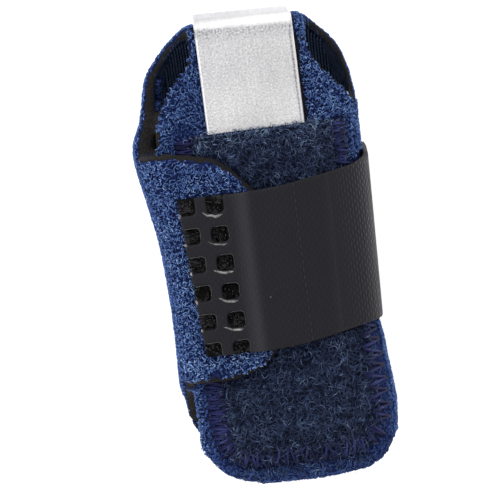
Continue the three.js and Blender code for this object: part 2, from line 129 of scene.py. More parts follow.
# %% Light tent and table
# Places and widths are in millimetres
LIGHTS = {
    "behind_tip": {"place": (180, 560, 480), "width": 560, "watts": 1.15},
    "key": {"place": (-420, 300, 560), "width": 320, "watts": 1.6},
    "low_glint": {"place": (-420, -360, 300), "width": 120, "watts": 0.5},
}
WHITE = (1, 1, 1, 1)
TENT_STRENGTH = 0.9
TABLE_HALF = 900

for name, light in LIGHTS.items():
    lamp_data = bpy.data.lights.new(name, "AREA")
    lamp_data.energy = light["watts"]
    lamp_data.size = light["width"] * MM
    lamp = bpy.data.objects.new(name, lamp_data)
    lamp.location = Vector(light["place"]) * MM
    lamp.rotation_euler = (-lamp.location).to_track_quat("-Z", "Y").to_euler()
    scene.collection.objects.link(lamp)

world = bpy.data.worlds.new("tent")
world.use_nodes = True
tent = world.node_tree.nodes["Background"].inputs
tent["Color"].default_value = WHITE
tent["Strength"].default_value = TENT_STRENGTH
scene.world = world
scene.view_settings.view_transform = "Standard"

table_corners = TABLE_HALF * np.array([(-1, -1, 0), (1, -1, 0), (1, 1, 0), (-1, 1, 0)])
table_mesh = mesh_from("table", table_corners, [(0, 1, 2, 3)])
table = bpy.data.objects.new("table", table_mesh)
scene.collection.objects.link(table)
print("lights:", list(LIGHTS))

# %% [markdown]
# ## Helpers for shaders
#
# Every material below is one Principled shader. Numbers that are the same all over a surface are set on the
# shader's own sockets, and only what changes from place to place comes in through links. Three effects are
# needed by several materials, so each is a node group: the shade of a yarn, ribs, and fine grain.

# %% Materials and nodes
def new_material(name, constants):
    """A material, its nodes and its shader, with the numbers that are the same all over it set."""
    material = bpy.data.materials.new(name)
    material.use_nodes = True
    shader = material.node_tree.nodes["Principled BSDF"]
    for socket, value in constants.items():
        shader.inputs[socket].default_value = value
    print("material:", name)
    return material, material.node_tree, shader


def add_node(tree, kind, values=None, **settings):
    """A node with its settings, and its inputs filled with numbers or with links from other nodes."""
    node = tree.nodes.new(kind)
    for name, value in settings.items():
        setattr(node, name, value)
    for name, value in (values or {}).items():
        if isinstance(value, bpy.types.NodeSocket):
            tree.links.new(value, node.inputs[name])
        else:
            node.inputs[name].default_value = value
    return node


def math_node(tree, operation, *values):
    node = add_node(tree, "ShaderNodeMath", dict(enumerate(values)), operation=operation)
    return node.outputs["Value"]

# %% Values over a surface
def object_place(tree):
    """The place on the object, in metres."""
    return add_node(tree, "ShaderNodeTexCoord").outputs["Object"]


def noise(tree, where, scale, detail):
    values = {"Vector": where, "Scale": scale, "Detail": detail}
    return add_node(tree, "ShaderNodeTexNoise", values).outputs["Fac"]


def value_on(tree, name):
    """A number that was put on the points of the mesh."""
    return add_node(tree, "ShaderNodeAttribute", attribute_name=name).outputs["Fac"]

# %% Colour and relief
def linear(red, green, blue):
    """A screen colour, 0 to 255, as the linear colour that shaders work with."""
    shares = [value / 255 for value in (red, green, blue)]
    return (*[s / 12.92 if s <= 0.04045 else ((s + 0.055) / 1.055) ** 2.4 for s in shares], 1)


def ramp(tree, value, stops):
    """Colours along a value from 0 to 1."""
    node = add_node(tree, "ShaderNodeValToRGB", {"Fac": value})
    elements = node.color_ramp.elements
    while len(elements) < len(stops):
        elements.new(0.5)
    for element, (position, colour) in zip(elements, stops):
        element.position = position
        element.color = linear(*colour)
    return node.outputs["Color"]


def paint(tree, shader, value, stops):
    """Colour a surface by a value."""
    tree.links.new(ramp(tree, value, stops), shader.inputs["Base Color"])


def bump(tree, shader, height, distance_mm, strength=1.0):
    values = {"Height": height, "Strength": strength, "Distance": distance_mm * MM}
    node = add_node(tree, "ShaderNodeBump", values)
    tree.links.new(node.outputs["Normal"], shader.inputs["Normal"])

# %% Node groups with named sockets
def start_group(name, inputs, outputs):
    group = bpy.data.node_groups.new(name, "ShaderNodeTree")
    for socket in inputs:
        group.interface.new_socket(socket, in_out="INPUT", socket_type="NodeSocketFloat")
    for socket in outputs:
        group.interface.new_socket(socket, in_out="OUTPUT", socket_type="NodeSocketFloat")
    return group, group.nodes.new("NodeGroupInput").outputs, group.nodes.new("NodeGroupOutput").inputs


def use_group(tree, group, values):
    return add_node(tree, "ShaderNodeGroup", values, node_tree=group).outputs

# %% Group: shade of a yarn
# Tone differs from yarn to yarn, Rise is low at the root, in shadow, and high at the top, and Mottle is the
# strength of slow changes from place to place
MOTTLE_SCALE = 420
TONE_SHARE, TONE_LEAST = 0.6, 0.4
YARN, yarn_in, yarn_out = start_group("yarn_shade", ["Tone", "Rise", "Mottle"], ["Level"])
yarn_lift = math_node(YARN, "MULTIPLY_ADD", yarn_in["Tone"], TONE_SHARE, TONE_LEAST)
yarn_level = math_node(YARN, "MULTIPLY", yarn_lift, yarn_in["Rise"])
yarn_patch = math_node(YARN, "SUBTRACT", noise(YARN, object_place(YARN), MOTTLE_SCALE, detail=2), 0.5)
yarn_sum = math_node(YARN, "MULTIPLY_ADD", yarn_patch, yarn_in["Mottle"], yarn_level)
YARN.links.new(yarn_sum, yarn_out["Level"])

# %% Group: ribs
# Across is a length over the ribs and Along one beside them, both in millimetres. Knots are set half a pitch
# further on every second rib, and the last line brings both waves to a height round a half
WHOLE_TURN = 2 * math.pi
RIBS, rib_in, rib_out = start_group("ribs", ["Across", "Along", "Pitch", "Knots"], ["Height"])
rib_turns = math_node(RIBS, "DIVIDE", rib_in["Across"], rib_in["Pitch"])
rib_wave = math_node(RIBS, "SINE", math_node(RIBS, "MULTIPLY", rib_turns, WHOLE_TURN))
knot_turns = math_node(RIBS, "DIVIDE", rib_in["Along"], rib_in["Pitch"])
rib_number = math_node(RIBS, "FLOOR", math_node(RIBS, "ADD", rib_turns, 0.25))
knot_turns = math_node(RIBS, "MULTIPLY_ADD", rib_number, 0.5, knot_turns)
knot_wave = math_node(RIBS, "SINE", math_node(RIBS, "MULTIPLY", knot_turns, WHOLE_TURN))
knots = math_node(RIBS, "MULTIPLY", knot_wave, rib_in["Knots"])
rib_sum = math_node(RIBS, "ADD", rib_wave, knots)
RIBS.links.new(math_node(RIBS, "MULTIPLY_ADD", rib_sum, 0.25, 0.5), rib_out["Height"])

# %% Group: fine grain
GRAIN, grain_in, grain_out = start_group("fine_grain", ["Scale"], ["Height"])
GRAIN.links.new(noise(GRAIN, object_place(GRAIN), grain_in["Scale"], detail=4), grain_out["Height"])
print("node groups:", YARN.name, RIBS.name, GRAIN.name)

# %% Ways to use the groups
def grain_height(tree, scale):
    return use_group(tree, GRAIN, {"Scale": scale})["Height"]


def rib_height(tree, pitch, knots):
    lengths = {"Across": value_on(tree, "across"), "Along": value_on(tree, "along")}
    return use_group(tree, RIBS, {**lengths, "Pitch": pitch, "Knots": knots})["Height"]


def grained_material(name, constants, grain_scale, stops, relief_mm=None):
    """A surface whose colour follows the fine grain, and its relief too where it has any."""
    material, tree, shader = new_material(name, constants)
    grain = grain_height(tree, grain_scale)
    paint(tree, shader, grain, stops)
    if relief_mm:
        bump(tree, shader, grain, relief_mm)
    return material


def yarn_material(name, constants, mottle, stops):
    """Yarns, fibres or threads, coloured by their own tone and by their rise."""
    material, tree, shader = new_material(name, constants)
    values = {"Tone": value_on(tree, "tone"), "Rise": value_on(tree, "rise"), "Mottle": mottle}
    paint(tree, shader, use_group(tree, YARN, values)["Level"], stops)
    return material


PAPER_GLOW = 0.45
paper = grained_material(
    "table_paper",
    {"Roughness": 0.9, "Specular IOR Level": 0.1, "Emission Color": WHITE, "Emission Strength": PAPER_GLOW},
    grain_scale=900,
    stops=[(0.3, (252, 252, 252)), (0.7, (255, 255, 255))],
)
table_mesh.materials.append(paper)
print("table has", paper.name)

# %% [markdown]
# ## Bonded cloth
#
# The wrap is one sheet about 2 mm thick that is folded into a sleeve. The frame's solid has the right form
# but hard corners. A voxel remesh of a copy gives small even faces, and a few rounds of smoothing relax the
# corners as foam does. Two corners then need help: the panel's corner beside the flap, which is pulled
# against the rim, and the full lower right corner, which the smoothing has drawn in.

# %% Remeshed copies of frame solids
RELAX_FACTOR = 0.5
WRAP_VOXEL, WRAP_ROUNDS = 0.6, 4


def soft_copy(node, voxel_mm, rounds):
    """The frame's solid with small even faces and relaxed corners, as a new mesh."""
    helper = bpy.data.objects.new("soft_copy", nodes[node].data.copy())
    scene.collection.objects.link(helper)
    remesh = helper.modifiers.new("voxels", "REMESH")
    remesh.mode = "VOXEL"
    remesh.voxel_size = voxel_mm * MM
    relax = helper.modifiers.new("relax", "SMOOTH")
    relax.factor = RELAX_FACTOR
    relax.iterations = rounds
    evaluated = helper.evaluated_get(bpy.context.evaluated_depsgraph_get())
    mesh = bpy.data.meshes.new_from_object(evaluated)
    bpy.data.objects.remove(helper)
    mesh.materials.clear()
    mesh.shade_smooth()
    return mesh


def tree_of(points, triangles):
    """A search tree of triangles, for rays and nearest places."""
    return BVHTree.FromPolygons(points.tolist(), triangles.tolist())


cad_arrays = {name: arrays_of(nodes[name].data) for name in nodes}
cad_trees = {name: tree_of(points, triangles) for name, (points, triangles, _, _) in cad_arrays.items()}
wrap_mesh = soft_copy("wrap", WRAP_VOXEL, WRAP_ROUNDS)
print("wrap ground:", len(wrap_mesh.polygons), "faces")

# %% Two corners drawn to their places
RIM_Z = 17.9
CORNER_X, CORNER_Y = -15.2, 18.9
CORNER_WIDTH, CORNER_LENGTH, CORNER_DEPTH = 1.0, 1.8, 3.5
CORNER_PULL = 1.6
FULL_CORNER, FULL_CORNER_SIZE = (14.6, -36.0), 4.2
FULL_CORNER_Z = 15
FULL_CORNER_OUT = np.array([0.33, -0.42])

wrap_points, wrap_triangles, wrap_owners, wrap_normals = arrays_of(wrap_mesh)
x, y, z = wrap_points.T
pull = np.exp(-((y - CORNER_Y) / CORNER_LENGTH) ** 2 - ((x - CORNER_X) / CORNER_WIDTH) ** 2)
pull *= np.abs(z - RIM_Z) < CORNER_DEPTH
wrap_points[:, 0] += (CORNER_X - x) * np.minimum(1, CORNER_PULL * pull)
from_corner = ((wrap_points[:, :2] - FULL_CORNER) / FULL_CORNER_SIZE) ** 2
full = np.exp(-from_corner.sum(axis=1)) * (z > FULL_CORNER_Z)
wrap_points[:, :2] += full[:, None] * FULL_CORNER_OUT
write_points(wrap_mesh, wrap_points)
wrap_mesh.update()
print("corner drawn out by", round(full.max() * np.linalg.norm(FULL_CORNER_OUT), 2), "mm")

# %% [markdown]
# ## Three skins on one cloth
#
# A bonded cloth shows its pile outside, its lining inside, and black foam where it is cut. Painting that by
# hand would be lost with every change of shape, so each face takes its skin from the nearest face of the
# frame's solid: where the cloth is thin behind a face it is one of the two skins, outer or inner, and where
# it is deep behind it the face is a cut edge. Some places differ: the right rim shows lining with a band of
# foam outside it, the front's lower end and the neck's fold over the tip have pile all round, a strip beside
# the stay gets the dark foam skin as a painted shadow, the flap has worn spots, and worn pile hangs over the
# foam at the flap's lower edge.

# %% Skins of the frame's solid
PILE, FOAM, LINING = 0, 1, 2
THICKEST_CLOTH, JUST_INSIDE = 2.9, 0.02
HOLLOW_X, HOLLOW_Z, HOLLOW_ENDS = 1.0, 10.8, (-40, 30)
# The facings are shares of a unit normal
FLAP_MIDDLE_Y, FLAP_REACH, FLAP_END_FACING = -3, 21.3, 0.6
FLAP_ROOT_Z, FLAP_Z, FLAP_FLAT_X, FLAP_FACING = 11, 23.8, -10, 0.8
RIM_FLATNESS, RIM_FACING = 0.05, 0.9
OPEN_END_Y, OPEN_END_FACING, BELOW_RIM = -30, 0.5, 0.6


def unit(vectors):
    return vectors / np.maximum(np.linalg.norm(vectors, axis=-1, keepdims=True), 1e-9)


def skins_of_solid(points, triangles, tree):
    """Pile, foam or lining for each triangle of the frame's wrap."""
    a, b, c = (points[triangles[:, i]] for i in range(3))
    centres = (a + b + c) / 3
    normals = unit(np.cross(b - a, c - a))
    x, y, z = centres.T
    middle = np.column_stack([np.full(len(x), HOLLOW_X), np.clip(y, *HOLLOW_ENDS), np.full(len(x), HOLLOW_Z)])
    outward = np.einsum("ij,ij->i", normals, centres - middle) > 0
    skins = np.where(outward, PILE, LINING)
    for i, (centre, normal) in enumerate(zip(centres, normals)):
        start = Vector(centre - JUST_INSIDE * normal)
        if tree.ray_cast(start, Vector(-normal), THICKEST_CLOTH)[3] is None:
            skins[i] = FOAM
    flap_end = (np.abs(y - FLAP_MIDDLE_Y) < FLAP_REACH) & (z > FLAP_ROOT_Z)
    flap_end &= np.abs(normals[:, 1]) > FLAP_END_FACING
    flap_side = (z > FLAP_Z) & (x > FLAP_FLAT_X) & (np.abs(normals[:, 2]) < FLAP_FACING)
    rim = (np.abs(z - RIM_Z) < RIM_FLATNESS) & (normals[:, 2] > RIM_FACING)
    open_end = (y < OPEN_END_Y) & (z < RIM_Z - BELOW_RIM) & (normals[:, 1] < -OPEN_END_FACING)
    skins[flap_end | flap_side | rim | open_end] = FOAM
    return skins


solid_points, solid_triangles, _, _ = cad_arrays["wrap"]
solid_skins = skins_of_solid(solid_points, solid_triangles, cad_trees["wrap"])
print("triangles of pile, foam and lining:", np.bincount(solid_skins))

# %% Skins of the soft cloth
FRONT_END_Y, FRONT_Z = -21.8, 17.3
RIM_FROM_Y, RIM_REACH, RIM_HALF_Z, BAND_FACING = 22.6, 2.6, 0.9, 0.3
RIM_BAND = {"y": [RIM_FROM_Y, 26, 31, 34.5], "width": [0.7, 0.9, 1.25, 1.4]}
OUTLINE_Y = np.arange(19.0, 35.5, 0.5)
OUTLINE_HALF_ROW = 0.4
FOLD_X, FOLD_HALF, FOLD_Y, FOLD_Z = 9.9, 1.5, 33, 16
GAP_X, GAP_HALF, GAP_Z, GAP_FACING = 9.6, 0.36, 17, 0.5
GAP_ENDS = (17.5, FOLD_Y + 1)


def on_fold(places):
    """Whether each place is where the neck folds over the tip, beside the stay."""
    x, y, z = places.T
    return (np.abs(x - FOLD_X) < FOLD_HALF) & (y > FOLD_Y) & (z > FOLD_Z)


face_centres = np.array([polygon.center for polygon in wrap_mesh.polygons]) / MM
facing_up = np.array([polygon.normal[2] for polygon in wrap_mesh.polygons])
wrap_skins = solid_skins[[cad_trees["wrap"].find_nearest(Vector(centre))[2] for centre in face_centres]]
x, y, z = face_centres.T
wrap_skins[(y < FRONT_END_Y) & (z > FRONT_Z) & (wrap_skins == FOAM)] = PILE

wall = wrap_points[wrap_points[:, 2] < RIM_Z]
outline_x = [wall[np.abs(wall[:, 1] - row) < OUTLINE_HALF_ROW, 0].max() for row in OUTLINE_Y]
from_outline = np.interp(y, OUTLINE_Y, outline_x) - x
band = np.interp(y, RIM_BAND["y"], RIM_BAND["width"])
right_rim = (from_outline < RIM_REACH) & (y > RIM_FROM_Y) & (np.abs(z - RIM_Z) < RIM_HALF_Z)
wrap_skins[right_rim & (from_outline > band) & (wrap_skins == FOAM)] = LINING
wrap_skins[right_rim & (from_outline < band) & (facing_up > BAND_FACING)] = FOAM
wrap_skins[on_fold(face_centres) & (wrap_skins == FOAM)] = PILE
# Painted shadow: the strip beside the stay's right edge is given the dark foam skin
in_stay_shadow = (np.abs(x - GAP_X) < GAP_HALF) & (y > GAP_ENDS[0]) & (y < GAP_ENDS[1]) & (z > GAP_Z)
wrap_skins[in_stay_shadow & (facing_up > GAP_FACING)] = FOAM
print("faces of the right rim and the gap:", right_rim.sum(), in_stay_shadow.sum())

# %% Worn spots and a frayed edge
# Each spot has its middle and its radius, and is wider than it is long
WORN_SPOTS = [(-10.4, -19.9, 0.75), (-12.5, 12.9, 0.35), (-8.2, 14.2, 0.35)]
WORN_NARROWING, WORN_HALO = 0.7, 0.9
FRAY_Y, FRAY_Z, FRAY_REACH = -17, 20, (0.15, 0.75)


def from_worn_spots(places):
    """How far each place is from the middle of each worn spot."""
    x, y, _ = places.T
    return [np.hypot(WORN_NARROWING * (x - spot_x), y - spot_y) for spot_x, spot_y, _ in WORN_SPOTS]


def in_worn_spot(places):
    """Whether each place on the flap is in a spot where the pile has come off."""
    inside = [gaps < radius for gaps, (_, _, radius) in zip(from_worn_spots(places), WORN_SPOTS)]
    return np.any(inside, axis=0) & (places[:, 2] > FLAP_Z)


def worn(places):
    """How dark the pile is round the worn spots, from 0 to 1."""
    halos = [np.exp(-(gaps / WORN_HALO) ** 2) for gaps in from_worn_spots(places)]
    return np.max(halos, axis=0) * (places[:, 2] > FLAP_Z)


wrap_skins[in_worn_spot(face_centres) & (y < 0)] = FOAM
rng = np.random.default_rng(seed=5)
pile_tree = tree_of(solid_points, solid_triangles[solid_skins == PILE])
for i in np.flatnonzero((wrap_skins == FOAM) & (y < FRAY_Y) & (z > FRAY_Z)):
    if pile_tree.find_nearest(Vector(face_centres[i]))[3] < rng.uniform(*FRAY_REACH):
        wrap_skins[i] = PILE
print("faces of pile, foam and lining:", np.bincount(wrap_skins))

# %% Materials of the three skins
MATTED = {"Roughness": 1.0, "Specular IOR Level": 0.1}
terry_ground = grained_material(
    "terry_ground",
    MATTED,
    grain_scale=2200,
    stops=[(0.3, (9, 14, 36)), (0.55, (24, 35, 78)), (0.75, (46, 64, 116))],
    relief_mm=0.3,
)
foam_edge = grained_material(
    "foam_edge",
    {"Roughness": 0.85, "Specular IOR Level": 0.2},
    grain_scale=2600,
    stops=[(0.3, (12, 11, 11)), (0.6, (30, 27, 26)), (0.8, (50, 45, 43))],
    relief_mm=0.35,
)
LINING_RELIEF, DARK_SHARE = 0.12, 0.3
lining, tree, shader = new_material("ribbed_lining", {"Roughness": 0.9, "Specular IOR Level": 0.15})
ribs = rib_height(tree, pitch=0.46, knots=0.4)
# Painted light: the lining is lighter where the tip value is high, towards the open tip
lit_share = math_node(tree, "MULTIPLY_ADD", value_on(tree, "tip"), 1 - DARK_SHARE, DARK_SHARE)
level = math_node(tree, "MULTIPLY", ribs, lit_share)
paint(tree, shader, level, [(0.1, (6, 8, 16)), (0.4, (44, 58, 92)), (0.8, (140, 166, 206))])
bump(tree, shader, ribs, LINING_RELIEF)

# %% Numbers on points, and pieces in the scene
def add_values(mesh, name, values):
    """A number on each point of a mesh, for its material to read."""
    attribute = mesh.attributes.new(name, "FLOAT", "POINT")
    attribute.data.foreach_set("value", np.asarray(values, np.float32).ravel())


def place(name, mesh, materials, replaces=None):
    """Put a mesh into the scene as a piece of the object."""
    for material in materials:
        mesh.materials.append(material)
    piece = bpy.data.objects.new(name, mesh)
    scene.collection.objects.link(piece)
    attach(piece, "root")
    if replaces:
        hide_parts(replaces)
    mesh.calc_loop_triangles()
    print(f"{name}: {len(mesh.loop_triangles)} triangles")
    return piece

# %% Cloth with its skins
# The ribs run along the sleeve, and light is painted into the lining: lighter towards the open gaps at the
# tip, darker further in
STEEP_WALL = 0.75
TIP_LIGHT = {"z": [11, 16], "share": [1, 0.35]}
TIP_FROM_Y, TIP_LENGTH = 20, 6

x, y, z = wrap_points.T
wrap_mesh.polygons.foreach_set("material_index", wrap_skins.astype(np.int32))
add_values(wrap_mesh, "across", np.where(np.abs(wrap_normals[:, 0]) > STEEP_WALL, z, x))
add_values(wrap_mesh, "along", y)
light_share_by_height = np.interp(z, TIP_LIGHT["z"], TIP_LIGHT["share"])
add_values(wrap_mesh, "tip", light_share_by_height * np.clip((y - TIP_FROM_Y) / TIP_LENGTH, 0, 1))
wrap = place("wrap_cloth", wrap_mesh, [terry_ground, foam_edge, lining], "wrap")
wrap_tree = tree_of(wrap_points, wrap_triangles)

# %% [markdown]
# ## Strands
#
# Loops, fibres, threads and hooks are all short bent strands. A strand is a row of points with a ring of
# three or four corners round each, closed at both ends so that it is a solid thing. Two directions are
# needed to turn the ring: the way the strand runs, and one direction across its bend.

# %% Many closed tubes in one mesh
def strands(name, paths, across, radii, sides=3):
    """paths: strand, step, xyz. across: strand, xyz. radii: strand, step."""
    count, steps, _ = paths.shape
    forward = unit(np.gradient(paths, axis=1))
    up = unit(np.cross(forward, across[:, None, :]))
    side = np.cross(up, forward)
    turn = np.arange(sides) * WHOLE_TURN / sides
    ring = side[:, :, None, :] * np.cos(turn)[:, None] + up[:, :, None, :] * np.sin(turn)[:, None]
    points = paths[:, :, None, :] + radii[:, :, None, None] * ring
    index = np.arange(count * steps * sides).reshape(count, steps, sides)
    beside = np.roll(index, -1, axis=2)
    walls = np.stack([index[:, :-1], beside[:, :-1], beside[:, 1:], index[:, 1:]], axis=-1).reshape(-1, 4)
    ends = np.concatenate([index[:, 0, ::-1], index[:, -1]])
    if sides == 4:
        return mesh_from(name, points.reshape(-1, 3), np.concatenate([walls, ends]))
    return mesh_from(name, points.reshape(-1, 3), walls, ends)


def shade_strands(mesh, tones, rise, sides=3):
    """A tone for each strand and the rise along it, on the corners of all rings."""
    add_values(mesh, "tone", np.repeat(tones, len(rise) * sides))
    add_values(mesh, "rise", np.tile(np.repeat(rise, sides), len(tones)))


def light_along(steps, at_ends):
    """Light along a strand whose ends are in shadow and whose middle is bright."""
    return at_ends + (1 - at_ends) * np.sin(math.pi * steps)

# %% Places and directions on a surface
CLEAR_OF_SKIN, NEARLY_UP = 0.15, 0.9


def scatter(points, triangles, normals, per_mm2, rng):
    """Random places on triangles, with the smooth normal there."""
    a, b, c = (points[triangles[:, i]] for i in range(3))
    areas = np.linalg.norm(np.cross(b - a, c - a), axis=1) / 2
    count = int(areas.sum() * per_mm2)
    chosen = triangles[rng.choice(len(triangles), count, p=areas / areas.sum())]
    root, split = np.sqrt(rng.random(count)), rng.random(count)
    weights = np.stack([1 - root, root * (1 - split), root * split], axis=1)[:, :, None]
    return (points[chosen] * weights).sum(axis=1), unit((normals[chosen] * weights).sum(axis=1))


def is_open(places, normals, trees, reach):
    """Whether nothing of the given trees lies within reach over each place."""
    def free(start, way):
        return all(tree.ray_cast(start, way, reach)[0] is None for tree in trees)
    starts = places + CLEAR_OF_SKIN * normals
    return np.array([free(Vector(p), Vector(n)) for p, n in zip(starts, normals)])


def flat_frame(normals, angles):
    """Two directions in the surface at each place, the first turned by an angle."""
    helper = np.where(np.abs(normals[:, 2:]) < NEARLY_UP, [[0.0, 0.0, 1.0]], [[0.0, 1.0, 0.0]])
    first = unit(np.cross(helper, normals))
    second = np.cross(normals, first)
    cos, sin = np.cos(angles)[:, None], np.sin(angles)[:, None]
    return first * cos + second * sin, second * cos - first * sin

# %% [markdown]
# ## Loop pile
#
# Loop pile is knitted so that every yarn comes out of the ground, curls over and goes back in. Washing and
# wearing turn the loops every way. They are strewn over the outer skin, left out where another piece lies
# on the cloth, and thinner where the zigzag stitches hold the pile down or where it is worn bare. Inside the
# left notch a clump of the same pile, taller and in shadow, stands on the wall next to the rim.

# %% Patch outline, which the stitches follow
PATCH_LEFT, PATCH_RIGHT = -10.4, 15.6
PATCH_FOOT, PATCH_MOUTH = -35.8, 19.1
SEAM_LEFT, SEAM_RIGHT, SEAM_FOOT = -10.7, 15.6, -34.5
SEAM_CORNER, SEAM_CORNER_STEPS, SEAM_SPACING = 5, 9, 0.5
SEAM_TURN_Y, SEAM_TURN_LENGTH, SEAM_TURN_IN = 9, 2, 0.8
PANEL_HEIGHTS = (15, 23.6)
NARROW_SEAM, NO_SEAM = 1.6, 99


def seam_line():
    """Points down the left of the patch, round its foot and up its right, turned in near the mouth."""
    bend = np.linspace(0, math.pi / 2, SEAM_CORNER_STEPS)
    cos, sin = SEAM_CORNER * np.cos(bend), SEAM_CORNER * np.sin(bend)
    low = SEAM_FOOT + SEAM_CORNER
    first = np.column_stack([SEAM_LEFT + SEAM_CORNER - cos, low - sin])
    second = np.column_stack([SEAM_RIGHT - SEAM_CORNER + sin, low - cos])
    inner = SEAM_RIGHT - SEAM_TURN_IN
    top = [[SEAM_RIGHT, SEAM_TURN_Y], [inner, SEAM_TURN_Y + SEAM_TURN_LENGTH], [inner, PATCH_MOUTH]]
    return np.concatenate([[[SEAM_LEFT, PATCH_MOUTH]], first, second, top])


def along_line(line, spacing):
    """Evenly spaced points on a line of points, with the direction to its left."""
    lengths = np.concatenate([[0], np.cumsum(np.linalg.norm(np.diff(line, axis=0), axis=1))])
    at = np.arange(0, lengths[-1], spacing)
    points = np.column_stack([np.interp(at, lengths, line[:, i]) for i in range(2)])
    forward = unit(np.gradient(points, axis=0))
    return points, np.column_stack([-forward[:, 1], forward[:, 0]])


seam_points, _ = along_line(seam_line(), SEAM_SPACING)


def seam_distance(places):
    """How far each place on the front is from the seam, seen from above, and more where it is narrow."""
    x, y, z = places.T
    gaps = places[:, None, :2] - seam_points[None]
    distance = np.sqrt((gaps ** 2).sum(axis=2).min(axis=1))
    narrow = (x > 0) & (y > SEAM_TURN_Y)
    on_panel = (z > PANEL_HEIGHTS[0]) & (z < PANEL_HEIGHTS[1])
    return np.where(on_panel, distance * np.where(narrow, NARROW_SEAM, 1), NO_SEAM)


print("seam has", len(seam_points), "points")

# %% Loops that are held, and loops that hang over an edge
FLAP_PILE_Z, TIP_PILE_Z = 22.5, 18.6
HELD_FOOT_Y, HELD_WIDTH = -33, 2.4
STAY_SIDE_X, STAY_SIDE_Y = 10.5, 22
LOW_NOTCH = (-11, -23, 18)
LOW_FLAP_Y, TIP_Y = -14, 19
LYING, STANDING, WALL_BELOW_RIM = 0.4, 0.3, 0.4


def held_loops(places):
    """Which loops are pressed down, and which of them lie at the foot or beside the stay."""
    x, y, z = places.T
    at_foot = (y < HELD_FOOT_Y) & (z < FLAP_PILE_Z)
    beside_stay = (x > STAY_SIDE_X) & (y > STAY_SIDE_Y) & (z < TIP_PILE_Z)
    in_low_notch = (x < LOW_NOTCH[0]) & (y < LOW_NOTCH[1]) & (z < LOW_NOTCH[2])
    held = (seam_distance(places) < HELD_WIDTH) | at_foot | beside_stay | in_low_notch
    return held, at_foot, beside_stay


def over_edge(places, normals):
    """Which loops may hang over a cut edge."""
    y, z = places[:, 1], places[:, 2]
    low_flap = (z > FLAP_PILE_Z) & (y < LOW_FLAP_Y)
    tip = (z > TIP_PILE_Z) & (y > TIP_Y)
    on_wall = (normals[:, 2] < STANDING) & (z < RIM_Z - WALL_BELOW_RIM)
    front_end = (y < FRONT_END_Y) & (z > FRONT_Z) & (z < FLAP_PILE_Z)
    return ((normals[:, 2] > LYING) & (low_flap | tip)) | on_wall | front_end | on_fold(places)


def off_foam(places):
    """Whether the nearest face of the frame's wrap isn't a cut edge, for each place."""
    nearest = [cad_trees["wrap"].find_nearest(Vector(p))[2] for p in places]
    return solid_skins[nearest] != FOAM

# %% Shape and tone of the loops
terry_yarn = yarn_material(
    "terry_yarn",
    {"Roughness": 0.8, "Specular IOR Level": 0.15},
    mottle=0.35,
    stops=[(0.05, (13, 17, 44)), (0.4, (52, 74, 132)), (0.75, (98, 130, 190)), (1.0, (164, 195, 233))],
)
LOOP_STEPS = np.linspace(0, 1, 4)
LOOP_CURLS, LOOP_HEIGHTS = (0.14, 0.3), (0.3, 0.65)
LOOP_TURNS, LOOP_STRETCHES = (2.0, 4.4), (0.9, 1.7)
LOOP_RADII, LOOP_ROOT, LOOP_END_LIGHT = (0.05, 0.085), 0.08, 0.2
UNDERSIDE, UNDER_CURL, UNDER_THICK, PRESSED = -0.1, 1.6, 1.4, 0.5
LEAST_Z = 0.15
TONE_SPREAD = (1.6, 1.7)
TONES = {"beside_stay": 0.85, "held": 0.58, "foot": 0.75, "right_border": 0.64, "lit": 1.15}
# Painted light: loops on the flap are lighter, most at its lower end
FLAP_PAINTED_LIGHT = {"y": [-17, -10], "tone": [1.26, 1.14]}
WORN_DIM = 0.6
BORDER_X, BORDER_Y = 14, -14
LIT_X, LIT_Z = 10.2, 17


def loop_paths(places, normals, held, tall, rng):
    """Points along each loop, and the direction across it."""
    count = len(places)
    run, bend = flat_frame(normals, rng.uniform(0, WHOLE_TURN, count))
    under = normals[:, 2] < UNDERSIDE
    curl = (rng.uniform(*LOOP_CURLS, count) * np.where(under, UNDER_CURL, 1))[:, None]
    height = tall * rng.uniform(*LOOP_HEIGHTS, count) * np.where(held | under, PRESSED, 1)
    turn = (LOOP_STEPS - 0.5) * rng.uniform(*LOOP_TURNS, (count, 1))
    stretch = rng.uniform(*LOOP_STRETCHES, (count, 1))
    forward = run[:, None, :] * (curl * stretch * np.sin(turn))[:, :, None]
    sideways = bend[:, None, :] * (curl * (np.cos(turn) - 0.5))[:, :, None]
    rise = normals[:, None, :] * (height[:, None] * np.sin(math.pi * LOOP_STEPS) - LOOP_ROOT)[:, :, None]
    paths = places[:, None, :] + forward + sideways + rise
    paths[:, :, 2] = np.maximum(paths[:, :, 2], LEAST_Z)
    return paths, bend


def loop_tones(roots, held, at_foot, beside_stay, rng):
    """Darker where loops are held or worn; painted lighter on the flap, and painted light on the neck right
    of the stay.
    """
    x, y, z = roots.T
    tones = rng.beta(*TONE_SPREAD, len(roots))
    tones *= np.where(beside_stay, TONES["beside_stay"], np.where(held, TONES["held"], 1))
    tones *= np.where(at_foot, TONES["foot"], 1)
    tones *= np.where((x > BORDER_X) & (y < BORDER_Y) & held, TONES["right_border"], 1)
    tones *= np.where(z > FLAP_PILE_Z, np.interp(y, FLAP_PAINTED_LIGHT["y"], FLAP_PAINTED_LIGHT["tone"]), 1)
    tones *= 1 - WORN_DIM * worn(roots)
    # Painted light on the neck to the right of the stay
    return tones * np.where((x > LIT_X) & (y > TIP_Y) & (z > LIT_Z), TONES["lit"], 1)


